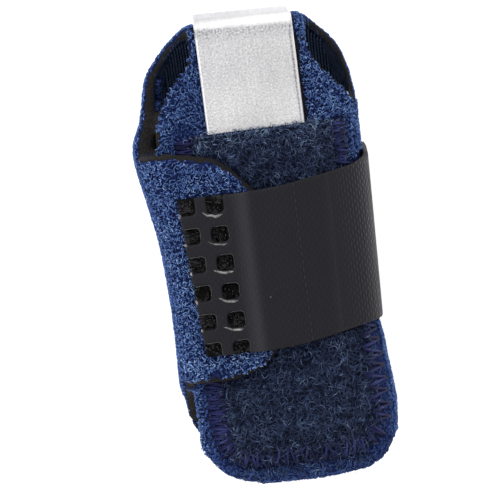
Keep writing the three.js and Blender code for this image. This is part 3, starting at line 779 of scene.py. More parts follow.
def terry_loops(name, places, normals, rng, shade=1.0, tall=1.0):
    """A piece of loop pile, whose loops keep off cut edges unless they may hang over them."""
    held, at_foot, beside_stay = held_loops(places)
    paths, bend = loop_paths(places, normals, held, tall, rng)
    clear = off_foam(paths[:, 0]) & off_foam(paths[:, 2]) & off_foam(paths[:, -1])
    clear |= over_edge(places, normals)
    thick = np.where(normals[:, 2] < UNDERSIDE, UNDER_THICK, 1)
    kept = (paths, bend, held, at_foot, beside_stay, thick)
    paths, bend, held, at_foot, beside_stay, thick = (values[clear] for values in kept)
    radii = rng.uniform(*LOOP_RADII, len(paths)) * thick
    mesh = strands(name, paths, bend, np.repeat(radii[:, None], len(LOOP_STEPS), axis=1))
    tones = loop_tones(paths[:, 0], held, at_foot, beside_stay, rng)
    shade_strands(mesh, tones, shade * light_along(LOOP_STEPS, LOOP_END_LIGHT))
    place(name, mesh, [terry_yarn])

# %% Loops over the cloth
LOOPS_PER_MM2 = 10.5
COVER_REACH, HOLLOW_REACH = 2.5, 6
THINNED_UNDER = {"facing_up": [-0.6, 0], "share": [0.16, 1]}
SEAM_HALF, SEAM_SHARE = 1.7, 0.3
LEVEL_FACING, TIP_REGION_Y = 0.5, 20
COVERING = [cad_trees[name] for name in ("closure_strap", "stay_pocket", "aluminium_stay", "hook_tab")]

rng = np.random.default_rng(seed=11)
pile_triangles = wrap_triangles[wrap_skins[wrap_owners] == PILE]
loop_places, loop_normals = scatter(wrap_points, pile_triangles, wrap_normals, LOOPS_PER_MM2, rng)
keep = is_open(loop_places, loop_normals, COVERING, COVER_REACH)
keep &= is_open(loop_places, loop_normals, [wrap_tree], HOLLOW_REACH)
shares = np.interp(loop_normals[:, 2], THINNED_UNDER["facing_up"], THINNED_UNDER["share"])
keep &= rng.random(len(keep)) < shares
keep &= (seam_distance(loop_places) > SEAM_HALF) | (rng.random(len(keep)) < SEAM_SHARE)
keep &= ~in_worn_spot(loop_places)
loop_places, loop_normals = loop_places[keep], loop_normals[keep]

x, y, z = loop_places.T
regions = {
    "pile_flap": z > FLAP_PILE_Z,
    "pile_front": (z <= FLAP_PILE_Z) & (loop_normals[:, 2] > LEVEL_FACING),
    "pile_back": loop_normals[:, 2] < -LEVEL_FACING,
}
on_walls = ~np.any(list(regions.values()), axis=0)
regions["pile_tip"] = on_walls & (y > TIP_REGION_Y)
regions["pile_left"] = on_walls & (y <= TIP_REGION_Y) & (x < 0)
regions["pile_right"] = on_walls & (y <= TIP_REGION_Y) & (x >= 0)
for region, inside in regions.items():
    terry_loops(region, loop_places[inside], loop_normals[inside], rng)

# %% Clump of pile in the left notch
NOTCH_X, NOTCH_Y, NOTCH_HALF, NOTCH_Z = -10.5, 26, 4, 9
NOTCH_DENSITY = 0.35 * LOOPS_PER_MM2
x, y, z = wrap_points[wrap_triangles].mean(axis=1).T
in_notch = (x < NOTCH_X) & (np.abs(y - NOTCH_Y) < NOTCH_HALF) & (z > NOTCH_Z)
in_notch &= wrap_skins[wrap_owners] == LINING
places, normals = scatter(wrap_points, wrap_triangles[in_notch], wrap_normals, NOTCH_DENSITY, rng)
terry_loops("pile_notch", places, normals, rng, shade=0.55, tall=2.0)

# %% [markdown]
# ## Pile patch
#
# The pocket is a second cloth: a raised pile whose long fine fibres have matted flat. Its ground comes from
# the frame in the same soft way, and the fibres are long thin strands that lie along it, bent this way and
# that. Some stray over the stitched border. At the pocket's mouth, where the cloth was cut, they lie along
# the rolled edge, and a fringe of short ones stands over it.

# %% Patch ground
PATCH_VOXEL, PATCH_ROUNDS = 0.5, 3
patch_ground = grained_material(
    "patch_ground",
    MATTED,
    grain_scale=1500,
    stops=[(0.3, (6, 9, 20)), (0.7, (20, 29, 52))],
    relief_mm=0.3,
)
patch_mesh = soft_copy("stay_pocket", PATCH_VOXEL, PATCH_ROUNDS)
patch_points, patch_triangles, _, patch_normals = arrays_of(patch_mesh)
patch = place("patch_cloth", patch_mesh, [patch_ground], "stay_pocket")
patch_tree = tree_of(patch_points, patch_triangles)

# %% Shape of the fibres
patch_fibre = yarn_material(
    "patch_fibre",
    {"Roughness": 0.7, "Specular IOR Level": 0.3},
    mottle=0.5,
    stops=[(0.05, (6, 9, 20)), (0.45, (25, 33, 60)), (0.75, (67, 86, 126)), (1.0, (140, 163, 194))],
)
FIBRE_STEPS = np.linspace(0, 1, 5)
# Both ends lie a little above the ground and a little in the light
FIBRE_ARCH = 0.08 + 0.84 * FIBRE_STEPS
FIBRE_LIT = 0.1 + 0.8 * FIBRE_STEPS
FIBRE_BEND, FIBRE_WAVE, FIBRE_END_LIGHT = 1.1, 0.9, 0.35
FIBRE_RADII, FIBRE_TAPER = (0.036, 0.062), 0.6


def pile_fibres(name, places, normals, headings, lengths, heights, tones, rng):
    """A piece of matted pile, whose fibres wander over the surface with their ends low."""
    count, t = len(places), FIBRE_STEPS
    bends = rng.normal(0, FIBRE_BEND, (count, 1)) * t
    bends = bends + rng.normal(0, FIBRE_WAVE, (count, 1)) * np.sin(WHOLE_TURN * t)
    first, second = flat_frame(normals, headings)
    step = lengths[:, None] / (len(t) - 1)
    forward = np.cumsum(step * np.cos(bends), axis=1) - step
    sideways = np.cumsum(step * np.sin(bends), axis=1)
    rise = heights[:, None] * np.sin(math.pi * FIBRE_ARCH)
    paths = places[:, None, :] + first[:, None, :] * forward[:, :, None]
    paths = paths + second[:, None, :] * sideways[:, :, None] + normals[:, None, :] * rise[:, :, None]
    mesh = strands(name, paths, second, rng.uniform(*FIBRE_RADII, (count, 1)) * (1 - FIBRE_TAPER * t))
    shade_strands(mesh, tones, light_along(FIBRE_LIT, FIBRE_END_LIGHT))
    place(name, mesh, [patch_fibre])

# %% Fibres on the patch
FIBRES_PER_MM2, FIBRE_FACING = 9.5, 0.3
PATCH_SEAM_HALF, PATCH_SEAM_SHARE = 1.3, 0.4
STRAY_REACH, STRAY_SHARE, STRAY_FACING = (0.9, 3.6), 0.45, 0.9
STRAY_X, STRAY_Y, STRAY_Z = -8, 2, 16
ROLLED_WIDTH, ROLLED_SPREAD = 2.4, 0.5
SHORT_WIDTH, SHORTENED = 0.8, 0.6
FIBRE_TONES = (1.9, 2.65)
FIBRE_LENGTHS, FIBRE_HEIGHTS = (0.9, 2.5), (0.15, 0.6)
# Painted highlight: fibres are lighter towards the mouth, along the rolled edge
PATCH_PAINTED_LIGHT = {"y": [5, 13, 16, 18.5], "tone": [1, 0.95, 1.15, 1.6]}

rng = np.random.default_rng(seed=23)
up_facing = patch_normals[patch_triangles].mean(axis=1)[:, 2] > FIBRE_FACING
places, normals = scatter(patch_points, patch_triangles[up_facing], patch_normals, FIBRES_PER_MM2, rng)
over_patch = [cad_trees[name] for name in ("closure_strap", "hook_tab", "wrap")]
keep = (seam_distance(places) > PATCH_SEAM_HALF) | (rng.random(len(places)) < PATCH_SEAM_SHARE)
keep &= is_open(places, normals, over_patch, HOLLOW_REACH)

x, y, z = loop_places.T
from_seam = seam_distance(loop_places)
stray = (from_seam > STRAY_REACH[0]) & (from_seam < STRAY_REACH[1]) & (loop_normals[:, 2] > STRAY_FACING)
stray &= (x > STRAY_X) & (y < STRAY_Y) & (z > STRAY_Z) & (rng.random(len(stray)) < STRAY_SHARE)
places = np.concatenate([places[keep], loop_places[stray]])
normals = np.concatenate([normals[keep], loop_normals[stray]])
print("stray fibres:", stray.sum())

count = len(places)
to_mouth = PATCH_MOUTH - places[:, 1]
along_mouth = rng.normal(0, ROLLED_SPREAD, count)
headings = np.where(to_mouth < ROLLED_WIDTH, along_mouth, rng.uniform(0, WHOLE_TURN, count))
lengths = rng.uniform(*FIBRE_LENGTHS, count) * np.where(to_mouth < SHORT_WIDTH, SHORTENED, 1)
tones = rng.beta(*FIBRE_TONES, count) * np.interp(places[:, 1], PATCH_PAINTED_LIGHT["y"], PATCH_PAINTED_LIGHT["tone"])
heights = rng.uniform(*FIBRE_HEIGHTS, count)
pile_fibres("patch_fibres", places, normals, headings, lengths, heights, tones, rng)

# %% Fringe over the pocket's mouth
FRINGE_FIBRES, FRINGE_INSET, FRINGE_BACK = 320, 0.6, 0.5
FRINGE_LENGTHS, FRINGE_HEIGHTS = (0.25, 0.5), (0.1, 0.35)
FRINGE_SPREAD, FRINGE_TONES = 1.0, (4, 1.5)
ABOVE_PATCH = 26.0


def upward(count):
    """The direction up, once for each of a number of places."""
    return np.tile([0.0, 0.0, 1.0], (count, 1))


mouth_x = rng.uniform(PATCH_LEFT + FRINGE_INSET, PATCH_RIGHT - FRINGE_INSET, FRINGE_FIBRES)
mouth_y = np.full(FRINGE_FIBRES, PATCH_MOUTH - FRINGE_BACK)
starts = [Vector((x, y, ABOVE_PATCH)) for x, y in zip(mouth_x, mouth_y)]
mouth_z = [patch_tree.ray_cast(start, Vector((0, 0, -1)))[0][2] for start in starts]
mouth = np.column_stack([mouth_x, mouth_y, mouth_z])
headings = rng.normal(math.pi / 2, FRINGE_SPREAD, FRINGE_FIBRES)
lengths = rng.uniform(*FRINGE_LENGTHS, FRINGE_FIBRES)
heights = rng.uniform(*FRINGE_HEIGHTS, FRINGE_FIBRES)
tones = rng.beta(*FRINGE_TONES, FRINGE_FIBRES)
pile_fibres("mouth_fringe", mouth, upward(FRINGE_FIBRES), headings, lengths, heights, tones, rng)

# %% [markdown]
# ## Zigzag stitching
#
# The patch is sewn on with a wide zigzag in a dark violet thread. The needle goes to and fro across the edge,
# so every stitch is a short slanted bar that dives into the cloth at both ends. Its points come from rays
# shot down on the cloth, which makes the thread follow the hump over the stay and the round shoulder.

# %% Where the thread lies on the cloth
SEWN_FROM_Z, SHOULDER_Z = 23.7, 15.5
BELOW_FLAP = 0.05


def on_cloth(x, y):
    """The place on the patch or the panel below a point, or on the round shoulder beside them."""
    start, down = Vector((x, y, SEWN_FROM_Z)), Vector((0, 0, -1))
    under_flap, facing, _, _ = wrap_tree.ray_cast(start, down)
    if under_flap is not None and facing[2] < 0:
        start = under_flap + BELOW_FLAP * down
    hits = [tree.ray_cast(start, down)[0] for tree in (patch_tree, wrap_tree)]
    seen = [hit for hit in hits if hit is not None and hit[2] > SHOULDER_Z]
    if seen:
        return max(seen, key=lambda hit: hit[2])
    return wrap_tree.find_nearest(Vector((x, y, SHOULDER_Z)))[0]

# %% Zigzag thread round three sides
thread = yarn_material(
    "violet_thread",
    {"Roughness": 0.7, "Specular IOR Level": 0.15},
    mottle=0.3,
    stops=[(0.1, (7, 8, 24)), (0.6, (26, 29, 70)), (1.0, (50, 55, 110))],
)
STITCHES = {
    "left": {"pitch": 0.42, "radius": 0.24, "reach": 1.75},
    "foot": {"pitch": 0.8, "radius": 0.22, "reach": 1.75},
    "right": {"pitch": 1.05, "radius": 0.3, "reach": 1.75},
    "mouth": {"pitch": 0.5, "radius": 0.26, "reach": 1.2},
}
STITCH_STEPS = np.linspace(0, 1, 6)
SEAM_STEP, NEEDLE_SPREAD = 0.05, 0.12
FOOT_TOP_Y, MOUTH_Y = PATCH_FOOT + 3, 12
FOOT_LIFT, SIDE_LIFT, STITCH_END_LIGHT = 0.22, 0.42, 0.3


def stitch_sizes(sides, size):
    return np.array([STITCHES[side][size] for side in sides])


rng = np.random.default_rng(seed=31)
fine, fine_left = along_line(seam_line(), SEAM_STEP)
x, y = fine.T
side_of_patch = np.select([y < FOOT_TOP_Y, x < 0, y > MOUTH_Y], ["foot", "left", "mouth"], "right")
stitch_count = np.cumsum(SEAM_STEP / stitch_sizes(side_of_patch, "pitch")).astype(int)
holes = np.flatnonzero(np.diff(stitch_count))
seam, leftward, sides = fine[holes], fine_left[holes], side_of_patch[holes]
to_and_fro = np.where(np.arange(len(seam)) % 2 == 0, 1, -1)[:, None]
reaches = stitch_sizes(sides, "reach")[:, None]
needle = seam + leftward * to_and_fro * reaches + rng.normal(0, NEEDLE_SPREAD, seam.shape)
starts, ends = needle[:-1], needle[1:]
flat = starts[:, None, :] * (1 - STITCH_STEPS)[None, :, None] + ends[:, None, :] * STITCH_STEPS[None, :, None]
paths = np.array([[on_cloth(x, y) for x, y in stitch] for stitch in flat])
lift = np.where(seam[:-1, 1] < FOOT_TOP_Y, FOOT_LIFT, SIDE_LIFT)[:, None]
paths[:, :, 2] += lift * np.sin(math.pi * STITCH_STEPS) ** 0.5
across = np.column_stack([starts[:, 1] - ends[:, 1], ends[:, 0] - starts[:, 0], np.zeros(len(starts))])
radii = np.repeat(stitch_sizes(sides[:-1], "radius")[:, None], len(STITCH_STEPS), axis=1)
stitch_mesh = strands("zigzag", paths, unit(across), radii, sides=4)
stitch_rise = light_along(STITCH_STEPS, STITCH_END_LIGHT)
shade_strands(stitch_mesh, rng.random(len(starts)), stitch_rise, sides=4)
place("zigzag_stitches", stitch_mesh, [thread])

# %% [markdown]
# ## Aluminium stay
#
# The stay is soft rolled aluminium, sheared to width and bent by hand over a former. Its long edges are a
# little rounded, with a painted highlight along them and a painted dark reflection line beside the right one.
# The skin is satin with fine lines along the bar, and the bend shows as a grainy crease where the metal has
# stretched, with a smooth band beyond it that is painted bright as a reflection and painted darker as shade
# where the bar turns down. The face is darker towards the bend. The bar is swept again here with a rounded
# section, so its edges take light.

# %% Line and section of the stay
STAY_X, STAY_HALF, STAY_THICK = 1.35, 8.05, 1.4
STAY_FOOT, STAY_MIDDLE_Z, STAY_LEG_Z = -32.3, 21.4, 9.8
STAY_CORNER, EDGE_ROUND = 2.5, 0.4
BEND_Y, BEND_RADIUS = 35.7, 2.5
EDGE_SHADE_LINE = {"inset": [0, 0.26, 0.42, 0.58, 0.9], "edge_shade": [-0.7, -0.7, 0.4, 0.8, 0]}
CORNER_STEPS, FRONT_STEPS, BEND_STEPS, LEG_STEPS = 9, 40, 22, 8


def stay_line():
    """Middle line of the bar in Y and Z, with the way out of its face."""
    ease = 1 - np.cos(np.linspace(0, math.pi / 2, CORNER_STEPS))
    foot_y = STAY_FOOT + STAY_CORNER * ease
    front_y = np.concatenate([foot_y, np.linspace(foot_y[-1], BEND_Y, FRONT_STEPS)[1:]])
    front = np.column_stack([front_y, np.full(len(front_y), STAY_MIDDLE_Z)])
    angle = np.linspace(math.pi / 2, 0, BEND_STEPS)[1:]
    bend_z = STAY_MIDDLE_Z - BEND_RADIUS + BEND_RADIUS * np.sin(angle)
    bend = np.column_stack([BEND_Y + BEND_RADIUS * np.cos(angle), bend_z])
    corner_z = STAY_LEG_Z + STAY_CORNER * ease[::-1]
    leg_z = np.concatenate([np.linspace(bend_z[-1], STAY_LEG_Z + STAY_CORNER, LEG_STEPS)[1:], corner_z[1:]])
    leg = np.column_stack([np.full(len(leg_z), BEND_Y + BEND_RADIUS), leg_z])
    line = np.concatenate([front, bend, leg])
    forward = unit(np.gradient(line, axis=0))
    return line, np.column_stack([-forward[:, 1], forward[:, 0]])


def rounded_section(half_width, half_thick, radius, steps=4):
    """Corners of a bar's section, width then thickness, with two more on the face for the painted dark line.
    """
    corners = [(1, 1, 0), (-1, 1, 1), (-1, -1, 2), (1, -1, 3)]
    turns = np.linspace(0, math.pi / 2, steps + 1)
    rows = [
        np.column_stack([
            sx * (half_width - radius) + radius * np.cos(turns + quarter * math.pi / 2),
            sz * (half_thick - radius) + radius * np.sin(turns + quarter * math.pi / 2),
        ])
        for sx, sz, quarter in corners
    ]
    beside_edge = [(half_width - inset, half_thick) for inset in EDGE_SHADE_LINE["inset"][-2:]]
    return np.concatenate([rows[0], beside_edge] + rows[1:])

# %% Stay swept along its bend
BEND_SKEW, SKEW_FROM_Y, SKEW_LENGTH = 0.028, 30, 5
CORNER_CUT_Y, CORNER_CUT_SLOPE = 37.4, 0.65
LEFT_EDGE, LEFT_HIGHLIGHT = 0.3, 0.6

line, outward = stay_line()
lengths = np.concatenate([[0], np.cumsum(np.linalg.norm(np.diff(line, axis=0), axis=1))])
to_end = np.minimum(lengths, lengths[-1] - lengths)
short = np.clip(STAY_CORNER - to_end, 0, STAY_CORNER)
half_widths = STAY_HALF - (STAY_CORNER - np.sqrt(STAY_CORNER ** 2 - short ** 2))
rings, edge_lights = [], []
for (y, z), (out_y, out_z), half in zip(line, outward, half_widths):
    section = rounded_section(half, STAY_THICK / 2, EDGE_ROUND)
    skew = BEND_SKEW * section[:, 0] * np.clip((y - SKEW_FROM_Y) / SKEW_LENGTH, 0, 1)
    ring_y = y + out_y * section[:, 1]
    ring_x = np.minimum(section[:, 0], half - CORNER_CUT_SLOPE * np.maximum(0, ring_y - CORNER_CUT_Y))
    rings.append(np.column_stack([STAY_X + ring_x, ring_y - skew, z + out_z * section[:, 1]]))
    # Painted edge light: a highlight along both edges and a painted dark reflection line beside the right one
    edge_shade = np.interp(half - section[:, 0], EDGE_SHADE_LINE["inset"], EDGE_SHADE_LINE["edge_shade"])
    edge_lights.append((edge_shade - LEFT_HIGHLIGHT * (section[:, 0] < LEFT_EDGE - half)) * (y < BEND_Y))
rings = np.array(rings)
count, sides = rings.shape[:2]
index = np.arange(count * sides).reshape(count, sides)
beside = np.roll(index, -1, axis=1)
walls = np.stack([index[:-1], beside[:-1], beside[1:], index[1:]], axis=-1).reshape(-1, 4)[:, ::-1]
foot_end = [(0, i, i + 1) for i in range(1, sides - 1)]
leg_end = [(index[-1, 0], index[-1, i + 1], index[-1, i]) for i in range(1, sides - 1)]
stay_mesh = mesh_from("stay", rings.reshape(-1, 3), walls, foot_end + leg_end)
add_values(stay_mesh, "painted_edge_light", np.array(edge_lights))
stay_mesh.shade_smooth()
print("stay is", round(lengths[-1], 1), "mm long when flat")

# %% Tints of many parts
def weighted_sum(tree, start, shares):
    """A number with values added to it, each times its share."""
    total = start
    for value, share in shares:
        total = math_node(tree, "MULTIPLY_ADD", value, share, total)
    return total


def between(tree, along, ends_mm, first=0.0, last=1.0):
    """A value that goes from first to last between two places along a length, which is in metres."""
    start, stop = (end * MM for end in ends_mm)
    values = {"Value": along, "From Min": start, "From Max": stop, "To Min": first, "To Max": last}
    return add_node(tree, "ShaderNodeMapRange", values).outputs["Result"]

# %% Satin metal with a grainy crease
# The crease, the painted bright band of reflection and the painted shade of the strip beyond it lie across
# the bar, a little slanted, and their places along it are in millimetres
STAY_SLANT = 0.05
CREASE_STARTS, CREASE_ENDS = (33.6, 35.8), (35.9, 36.6)
REFLECTION_STARTS, TURN_SHADE_STARTS = (35.6, 36.4), (37.2, 38.5)
BEND_GRADIENT_ENDS, BEND_GRADIENT_TINTS, TURN_Y = (22.5, 34), (0.06, -0.04), 36
LIGHTER_PER_METRE = 9.0
LEAST_ROUGH, ROUGH_GRAIN = 0.32, 0.2
ROLLED_LINES = (2600, 160, 900)
SPECKLE_GAIN, SPECKLE_SHIFT, SPECKLE_LOST = 3.2, -1.1, 0.85
stay_metal, tree, shader = new_material("satin_aluminium", {"Metallic": 1.0})
where = object_place(tree)
stretched = add_node(tree, "ShaderNodeMapping", {"Vector": where, "Scale": ROLLED_LINES}).outputs["Vector"]
lines = noise(tree, stretched, scale=1.0, detail=3)
clouds = noise(tree, where, scale=130, detail=2)
grain = grain_height(tree, scale=3300)
speckle = math_node(tree, "MULTIPLY_ADD", grain, SPECKLE_GAIN, SPECKLE_SHIFT)
split = add_node(tree, "ShaderNodeSeparateXYZ", {"Vector": where}).outputs
slanted = math_node(tree, "MULTIPLY_ADD", split["X"], STAY_SLANT, split["Y"])
before_bend = between(tree, slanted, CREASE_STARTS)
after_bend = between(tree, slanted, CREASE_ENDS, 1.0, 0.0)
crease = math_node(tree, "MULTIPLY", before_bend, after_bend)
crease_grain = math_node(tree, "MULTIPLY", crease, speckle)
reflection_band = between(tree, slanted, REFLECTION_STARTS)
on_face = math_node(tree, "MULTIPLY_ADD", reflection_band, -SPECKLE_LOST, 1.0)
# The face is darker towards the bend and lighter further down
toward_bend = between(tree, slanted, BEND_GRADIENT_ENDS, *BEND_GRADIENT_TINTS)
below_bend = math_node(tree, "LESS_THAN", slanted, TURN_Y * MM)
# Painted light in the tint: the reflection band, the shade past the turn and the edge light
tint = weighted_sum(tree, 0.09, [
    (lines, 0.22),
    (clouds, 0.3),
    (math_node(tree, "MULTIPLY", speckle, on_face), 0.34),
    (reflection_band, 0.32),
    (split["X"], LIGHTER_PER_METRE),
    (math_node(tree, "MULTIPLY", toward_bend, below_bend), 1.0),
    (between(tree, slanted, TURN_SHADE_STARTS), -0.3),
    (crease, -0.22),
    (crease_grain, 0.08),
    (value_on(tree, "painted_edge_light"), -0.5),
])
paint(tree, shader, tint, [(0.0, (100, 100, 102)), (0.35, (184, 184, 187)), (0.8, (230, 228, 228))])
rough = math_node(tree, "MULTIPLY_ADD", grain, ROUGH_GRAIN, LEAST_ROUGH)
tree.links.new(rough, shader.inputs["Roughness"])
relief = weighted_sum(tree, crease_grain, [(grain, 0.35)])
bump(tree, shader, relief, distance_mm=0.05, strength=0.5)
place("bent_stay", stay_mesh, [stay_metal], "aluminium_stay")

# %% [markdown]
# ## Strap
#
# The strap is a narrow black stretch band with a fine woven face. Its free end is welded to hook tape in two
# columns of little squares: a hot tool presses through the band, which leaves square holes with melted lips.
# The frame's strap already has the squares, so it is softened like the cloth, with finer voxels. Where the
# tape stops the band bends over it, and that gives a few faint creases.

# %% Softened strap with creases
# Each crease has its place across the sleeve, its width and its height
STRAP_VOXEL, STRAP_ROUNDS = 0.28, 1
STRAP_FRONT_Z = 22
CREASES = [(-3.5, 0.5, 0.13), (-2.3, 0.6, -0.10), (-0.9, 0.7, 0.06)]
strap_mesh = soft_copy("closure_strap", STRAP_VOXEL, STRAP_ROUNDS)
strap_points, _, _, strap_normals = arrays_of(strap_mesh)
x, y, z = strap_points.T
on_front = z > STRAP_FRONT_Z
for crease_x, width, height in CREASES:
    lift = height * np.exp(-((x - crease_x) / width) ** 2)
    strap_points[:, 2] += np.where(on_front, lift, 0)
write_points(strap_mesh, strap_points)
strap_mesh.update()
print("strap has", len(CREASES), "creases and", len(strap_points), "points")

# %% Lengths and marks on the strap
# The length along the band runs over X on the front and the back, over the angle round the bend, and over Z
# down the side. The weave opens where the band bends, and at a faint fold across the front. Round the bend
# the band is also painted lighter as a sheen, and a painted highlight runs down a ridge on the front
BAND_BEND, BEND_FROM_X = 5, 8
ROUND_BEND_TILT, DOWN_SIDE_TILT = 1.25, 2
KNOT_STRETCH = 0.4
OPEN_FROM_X, OPEN_LENGTH, OPEN_POWER = 12, 6.5, 1.6
RIDGE_HIGHLIGHT_X, RIDGE_HIGHLIGHT_WIDTH = -2.6, 1.1
FOLD_LINE_X, FOLD_LINE_WIDTH = 6.05, 0.25
tilt = np.arctan2(np.abs(strap_normals[:, 0]), strap_normals[:, 2]) * (x > BEND_FROM_X)
round_bend = x + BAND_BEND * (tilt - np.sin(tilt))
down_side = np.where(tilt < DOWN_SIDE_TILT, -z, x)
add_values(strap_mesh, "across", np.where(tilt < ROUND_BEND_TILT, round_bend, down_side))
add_values(strap_mesh, "along", KNOT_STRETCH * y)
add_values(strap_mesh, "bend", np.clip((x - OPEN_FROM_X) / OPEN_LENGTH, 0, 1) ** OPEN_POWER)
add_values(strap_mesh, "ridge_highlight", on_front * np.exp(-((x - RIDGE_HIGHLIGHT_X) / RIDGE_HIGHLIGHT_WIDTH) ** 2))
add_values(strap_mesh, "fold", on_front * np.exp(-((x - FOLD_LINE_X) / FOLD_LINE_WIDTH) ** 2))
print("length on the front of the band in mm:", round(np.ptp(round_bend[on_front]), 1))

# %% Woven face of the strap
DUST_SCALE, DUST_SIZE = 190, 0.03
FOLD_OPENS, CLOSED_WEAVE = 0.35, 0.1
strap_cloth, tree, shader = new_material("woven_band", {"Roughness": 0.5, "Specular IOR Level": 0.12})
ribs = rib_height(tree, pitch=0.5, knots=0.7)
fold = math_node(tree, "MULTIPLY", value_on(tree, "fold"), FOLD_OPENS)
opened = math_node(tree, "MAXIMUM", value_on(tree, "bend"), fold)
opened = math_node(tree, "MULTIPLY_ADD", opened, 1 - CLOSED_WEAVE, CLOSED_WEAVE)
weave = math_node(tree, "MULTIPLY", math_node(tree, "SUBTRACT", ribs, 0.5), opened)
dust_cells = add_node(tree, "ShaderNodeTexVoronoi", {"Vector": object_place(tree), "Scale": DUST_SCALE})
# Painted light in the tint: a sheen round the bend and a highlight on the ridge; the specks are dust
tint = weighted_sum(tree, 0.25, [
    (grain_height(tree, scale=1800), 0.1),
    (weave, 0.95),
    (value_on(tree, "bend"), 0.2),
    (value_on(tree, "ridge_highlight"), 0.22),
    (math_node(tree, "LESS_THAN", dust_cells.outputs["Distance"], DUST_SIZE), 0.4),
])
blacks = [(0.0, (10, 10, 12)), (0.3, (28, 27, 32)), (0.6, (52, 51, 56)), (1.0, (100, 99, 104))]
paint(tree, shader, tint, blacks)
bump(tree, shader, weave, distance_mm=0.1, strength=0.7)
strap = place("woven_strap", strap_mesh, [strap_cloth], "closure_strap")

# %% [markdown]
# ## Hook tape and welds
#
# Under the squares lies the hook tape: a moulded black backing with rows of tiny hooks, crushed flat where
# the welding tool came down; the grey streaks on it are painted glints. Squeezed out plastic has made a lip
# at the lower left of most squares and a thin raised rim at the right and top of most, both painted light
# grey as a highlight, brightest on the lips.

# %% Hook tape
# Painted glints: the grey streaks in the tape's black are painted reflections of the crumpled film
TAPE_VOXEL, TAPE_ROUNDS = 0.3, 3
tape_painted_glints = grained_material(
    "tape_painted_glints",
    {"Roughness": 0.5, "Specular IOR Level": 0.06},
    grain_scale=800,
    stops=[
        (0.4, (3, 3, 4)), (0.5, (12, 12, 13)), (0.57, (50, 50, 52)), (0.61, (9, 9, 10)), (0.72, (30, 30, 32)),
    ],
    relief_mm=0.25,
)
place("hook_tape", soft_copy("hook_tab", TAPE_VOXEL, TAPE_ROUNDS), [tape_painted_glints], "hook_tab")

# %% Crushed hooks in the squares
# Each column of squares has its middle, the height of its top square and its width, and the welded end of the
# strap leans with the sleeve's left side
WELD_COLUMNS = [(-10.93, 7.5, 3.0), (-6.23, 7.4, 2.75)]
WELD_ROWS, WELD_PITCH, WELD_HEIGHT = 6, 4.68, 2.45
TAB_LEAN, TAB_MIDDLE_Y = -0.062, -3.8
TAPE_TOP, STRAP_TOP = 26.95, 28.15
HOOKS_PER_SQUARE, HOOK_RADIUS, HOOK_MARGIN = 8, 0.13, 0.5
HOOK_HEADINGS, HOOK_REACHES, HOOK_HEIGHTS = [0.8, 2.4], (0.5, 1.1), (0.1, 0.45)
HOOK_SPREAD, HOOK_SUNK = 0.35, 0.05
HOOK_STEPS = np.linspace(0, 1, 5)

hook_plastic = grained_material(
    "hook_plastic",
    {"Roughness": 0.2, "Specular IOR Level": 0.4},
    grain_scale=1600,
    stops=[(0.3, (2, 2, 3)), (0.7, (7, 7, 8))],
    relief_mm=0.25,
)
squares = np.array([
    (column_x + TAB_LEAN * (top - row * WELD_PITCH - TAB_MIDDLE_Y), top - row * WELD_PITCH, width)
    for column_x, top, width in WELD_COLUMNS
    for row in range(WELD_ROWS)
])
rng = np.random.default_rng(seed=41)
spots = np.repeat(squares, HOOKS_PER_SQUARE, axis=0)
count = len(spots)
hook_places = np.column_stack([
    spots[:, 0] + rng.uniform(-0.5, 0.5, count) * (spots[:, 2] - HOOK_MARGIN),
    spots[:, 1] + rng.uniform(-0.5, 0.5, count) * (WELD_HEIGHT - HOOK_MARGIN),
    np.full(count, TAPE_TOP),
])
run, bend = flat_frame(upward(count), rng.choice(HOOK_HEADINGS, count) + rng.normal(0, HOOK_SPREAD, count))
reach = rng.uniform(*HOOK_REACHES, (count, 1)) * (HOOK_STEPS - 0.5)
rise = rng.uniform(*HOOK_HEIGHTS, (count, 1)) * np.sin(math.pi * HOOK_STEPS) - HOOK_SUNK
paths = hook_places[:, None, :] + run[:, None, :] * reach[:, :, None]
paths = paths + upward(count)[:, None, :] * rise[:, :, None]
hook_mesh = strands("hooks", paths, bend, np.full(paths.shape[:2], HOOK_RADIUS), sides=4)
place("crushed_hooks", hook_mesh, [hook_plastic])

# %% Beads of melted plastic
bead_highlight, tree, shader = new_material("melted_bead_highlight", {"Roughness": 0.28, "Specular IOR Level": 0.7})
# Painted highlight: the beads are painted light grey, brightest on the lips (tone 1) and dimmer on the rims
level = math_node(tree, "MULTIPLY", grain_height(tree, scale=1200), value_on(tree, "tone"))
paint(tree, shader, level, [(0.1, (30, 30, 32)), (0.35, (52, 52, 54)), (0.65, (150, 149, 147))])


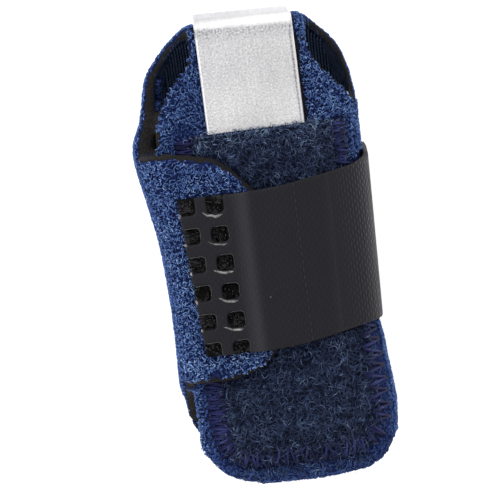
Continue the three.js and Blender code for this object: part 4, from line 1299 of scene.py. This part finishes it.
def weld_beads(name, squares, outlines, radii, sunk, tone):
    """A bead on each square, on an outline given in shares of the square's width and height."""
    paths = np.dstack([
        squares[:, :1] + outlines[:, :, 0] * squares[:, 2:],
        squares[:, 1:2] + outlines[:, :, 1] * WELD_HEIGHT,
        np.full(outlines.shape[:2], STRAP_TOP - sunk),
    ])
    mesh = strands(name, paths, upward(len(paths)), radii, sides=4)
    add_values(mesh, "tone", np.full(len(mesh.vertices), tone))
    place(name, mesh, [bead_highlight])

# %% Lips at the lower left of the squares
# A whole lip on the right column, and only its tip on the left one, at the strap's edge
LIP = np.array([
    (-0.76, -0.38), (-0.64, -0.48), (-0.48, -0.57), (-0.28, -0.64),
    (-0.06, -0.69), (0.16, -0.70), (0.38, -0.68),
])
LIP_RADII = np.array([0.05, 0.12, 0.17, 0.2, 0.23, 0.22, 0.07])
LIP_TIP = np.column_stack([np.linspace(-0.37, -0.31, len(LIP)), np.linspace(-0.4, -0.64, len(LIP))])
LIP_TIP_RADII = np.array([0.05, 0.13, 0.18, 0.2, 0.18, 0.13, 0.05])
LIP_SPREAD, LIP_SWELL = 0.02, (0.75, 1.2)
row_of_square = np.arange(len(squares)) % WELD_ROWS
lipped = squares[row_of_square < WELD_ROWS - 1]
is_tip = np.arange(len(lipped)) < WELD_ROWS - 1
outlines = np.where(is_tip[:, None, None], LIP_TIP, LIP)
outlines = outlines + rng.normal(0, LIP_SPREAD, outlines.shape)
radii = np.where(is_tip[:, None], LIP_TIP_RADII, LIP_RADII) * rng.uniform(*LIP_SWELL, (len(lipped), 1))
weld_beads("weld_lips", lipped, outlines, radii, sunk=0.03, tone=1.0)

# %% Thin rims at the right and top of the squares
WELD_RIM_RADIUS, WELD_RIM_SPREAD = 0.07, 0.012
WELD_RIM = np.array([
    (0.52, -0.38), (0.53, 0), (0.52, 0.32), (0.48, 0.46), (0.36, 0.54), (0.05, 0.55), (-0.3, 0.53),
])
rimmed = squares[row_of_square > 0]
outlines = WELD_RIM + rng.normal(0, WELD_RIM_SPREAD, (len(rimmed), len(WELD_RIM), 2))
weld_beads("weld_rims", rimmed, outlines, np.full(outlines.shape[:2], WELD_RIM_RADIUS), sunk=0.02, tone=0.45)

# %% [markdown]
# ## Cloth facts
#
# Three pieces are sheets of cloth: the bonded cloth that is folded into the sleeve, the patch that is laid
# on it, and the band that is stretched round it.

# %% Pieces of cloth
print("sheets of cloth:", wrap.name, patch.name, strap.name)
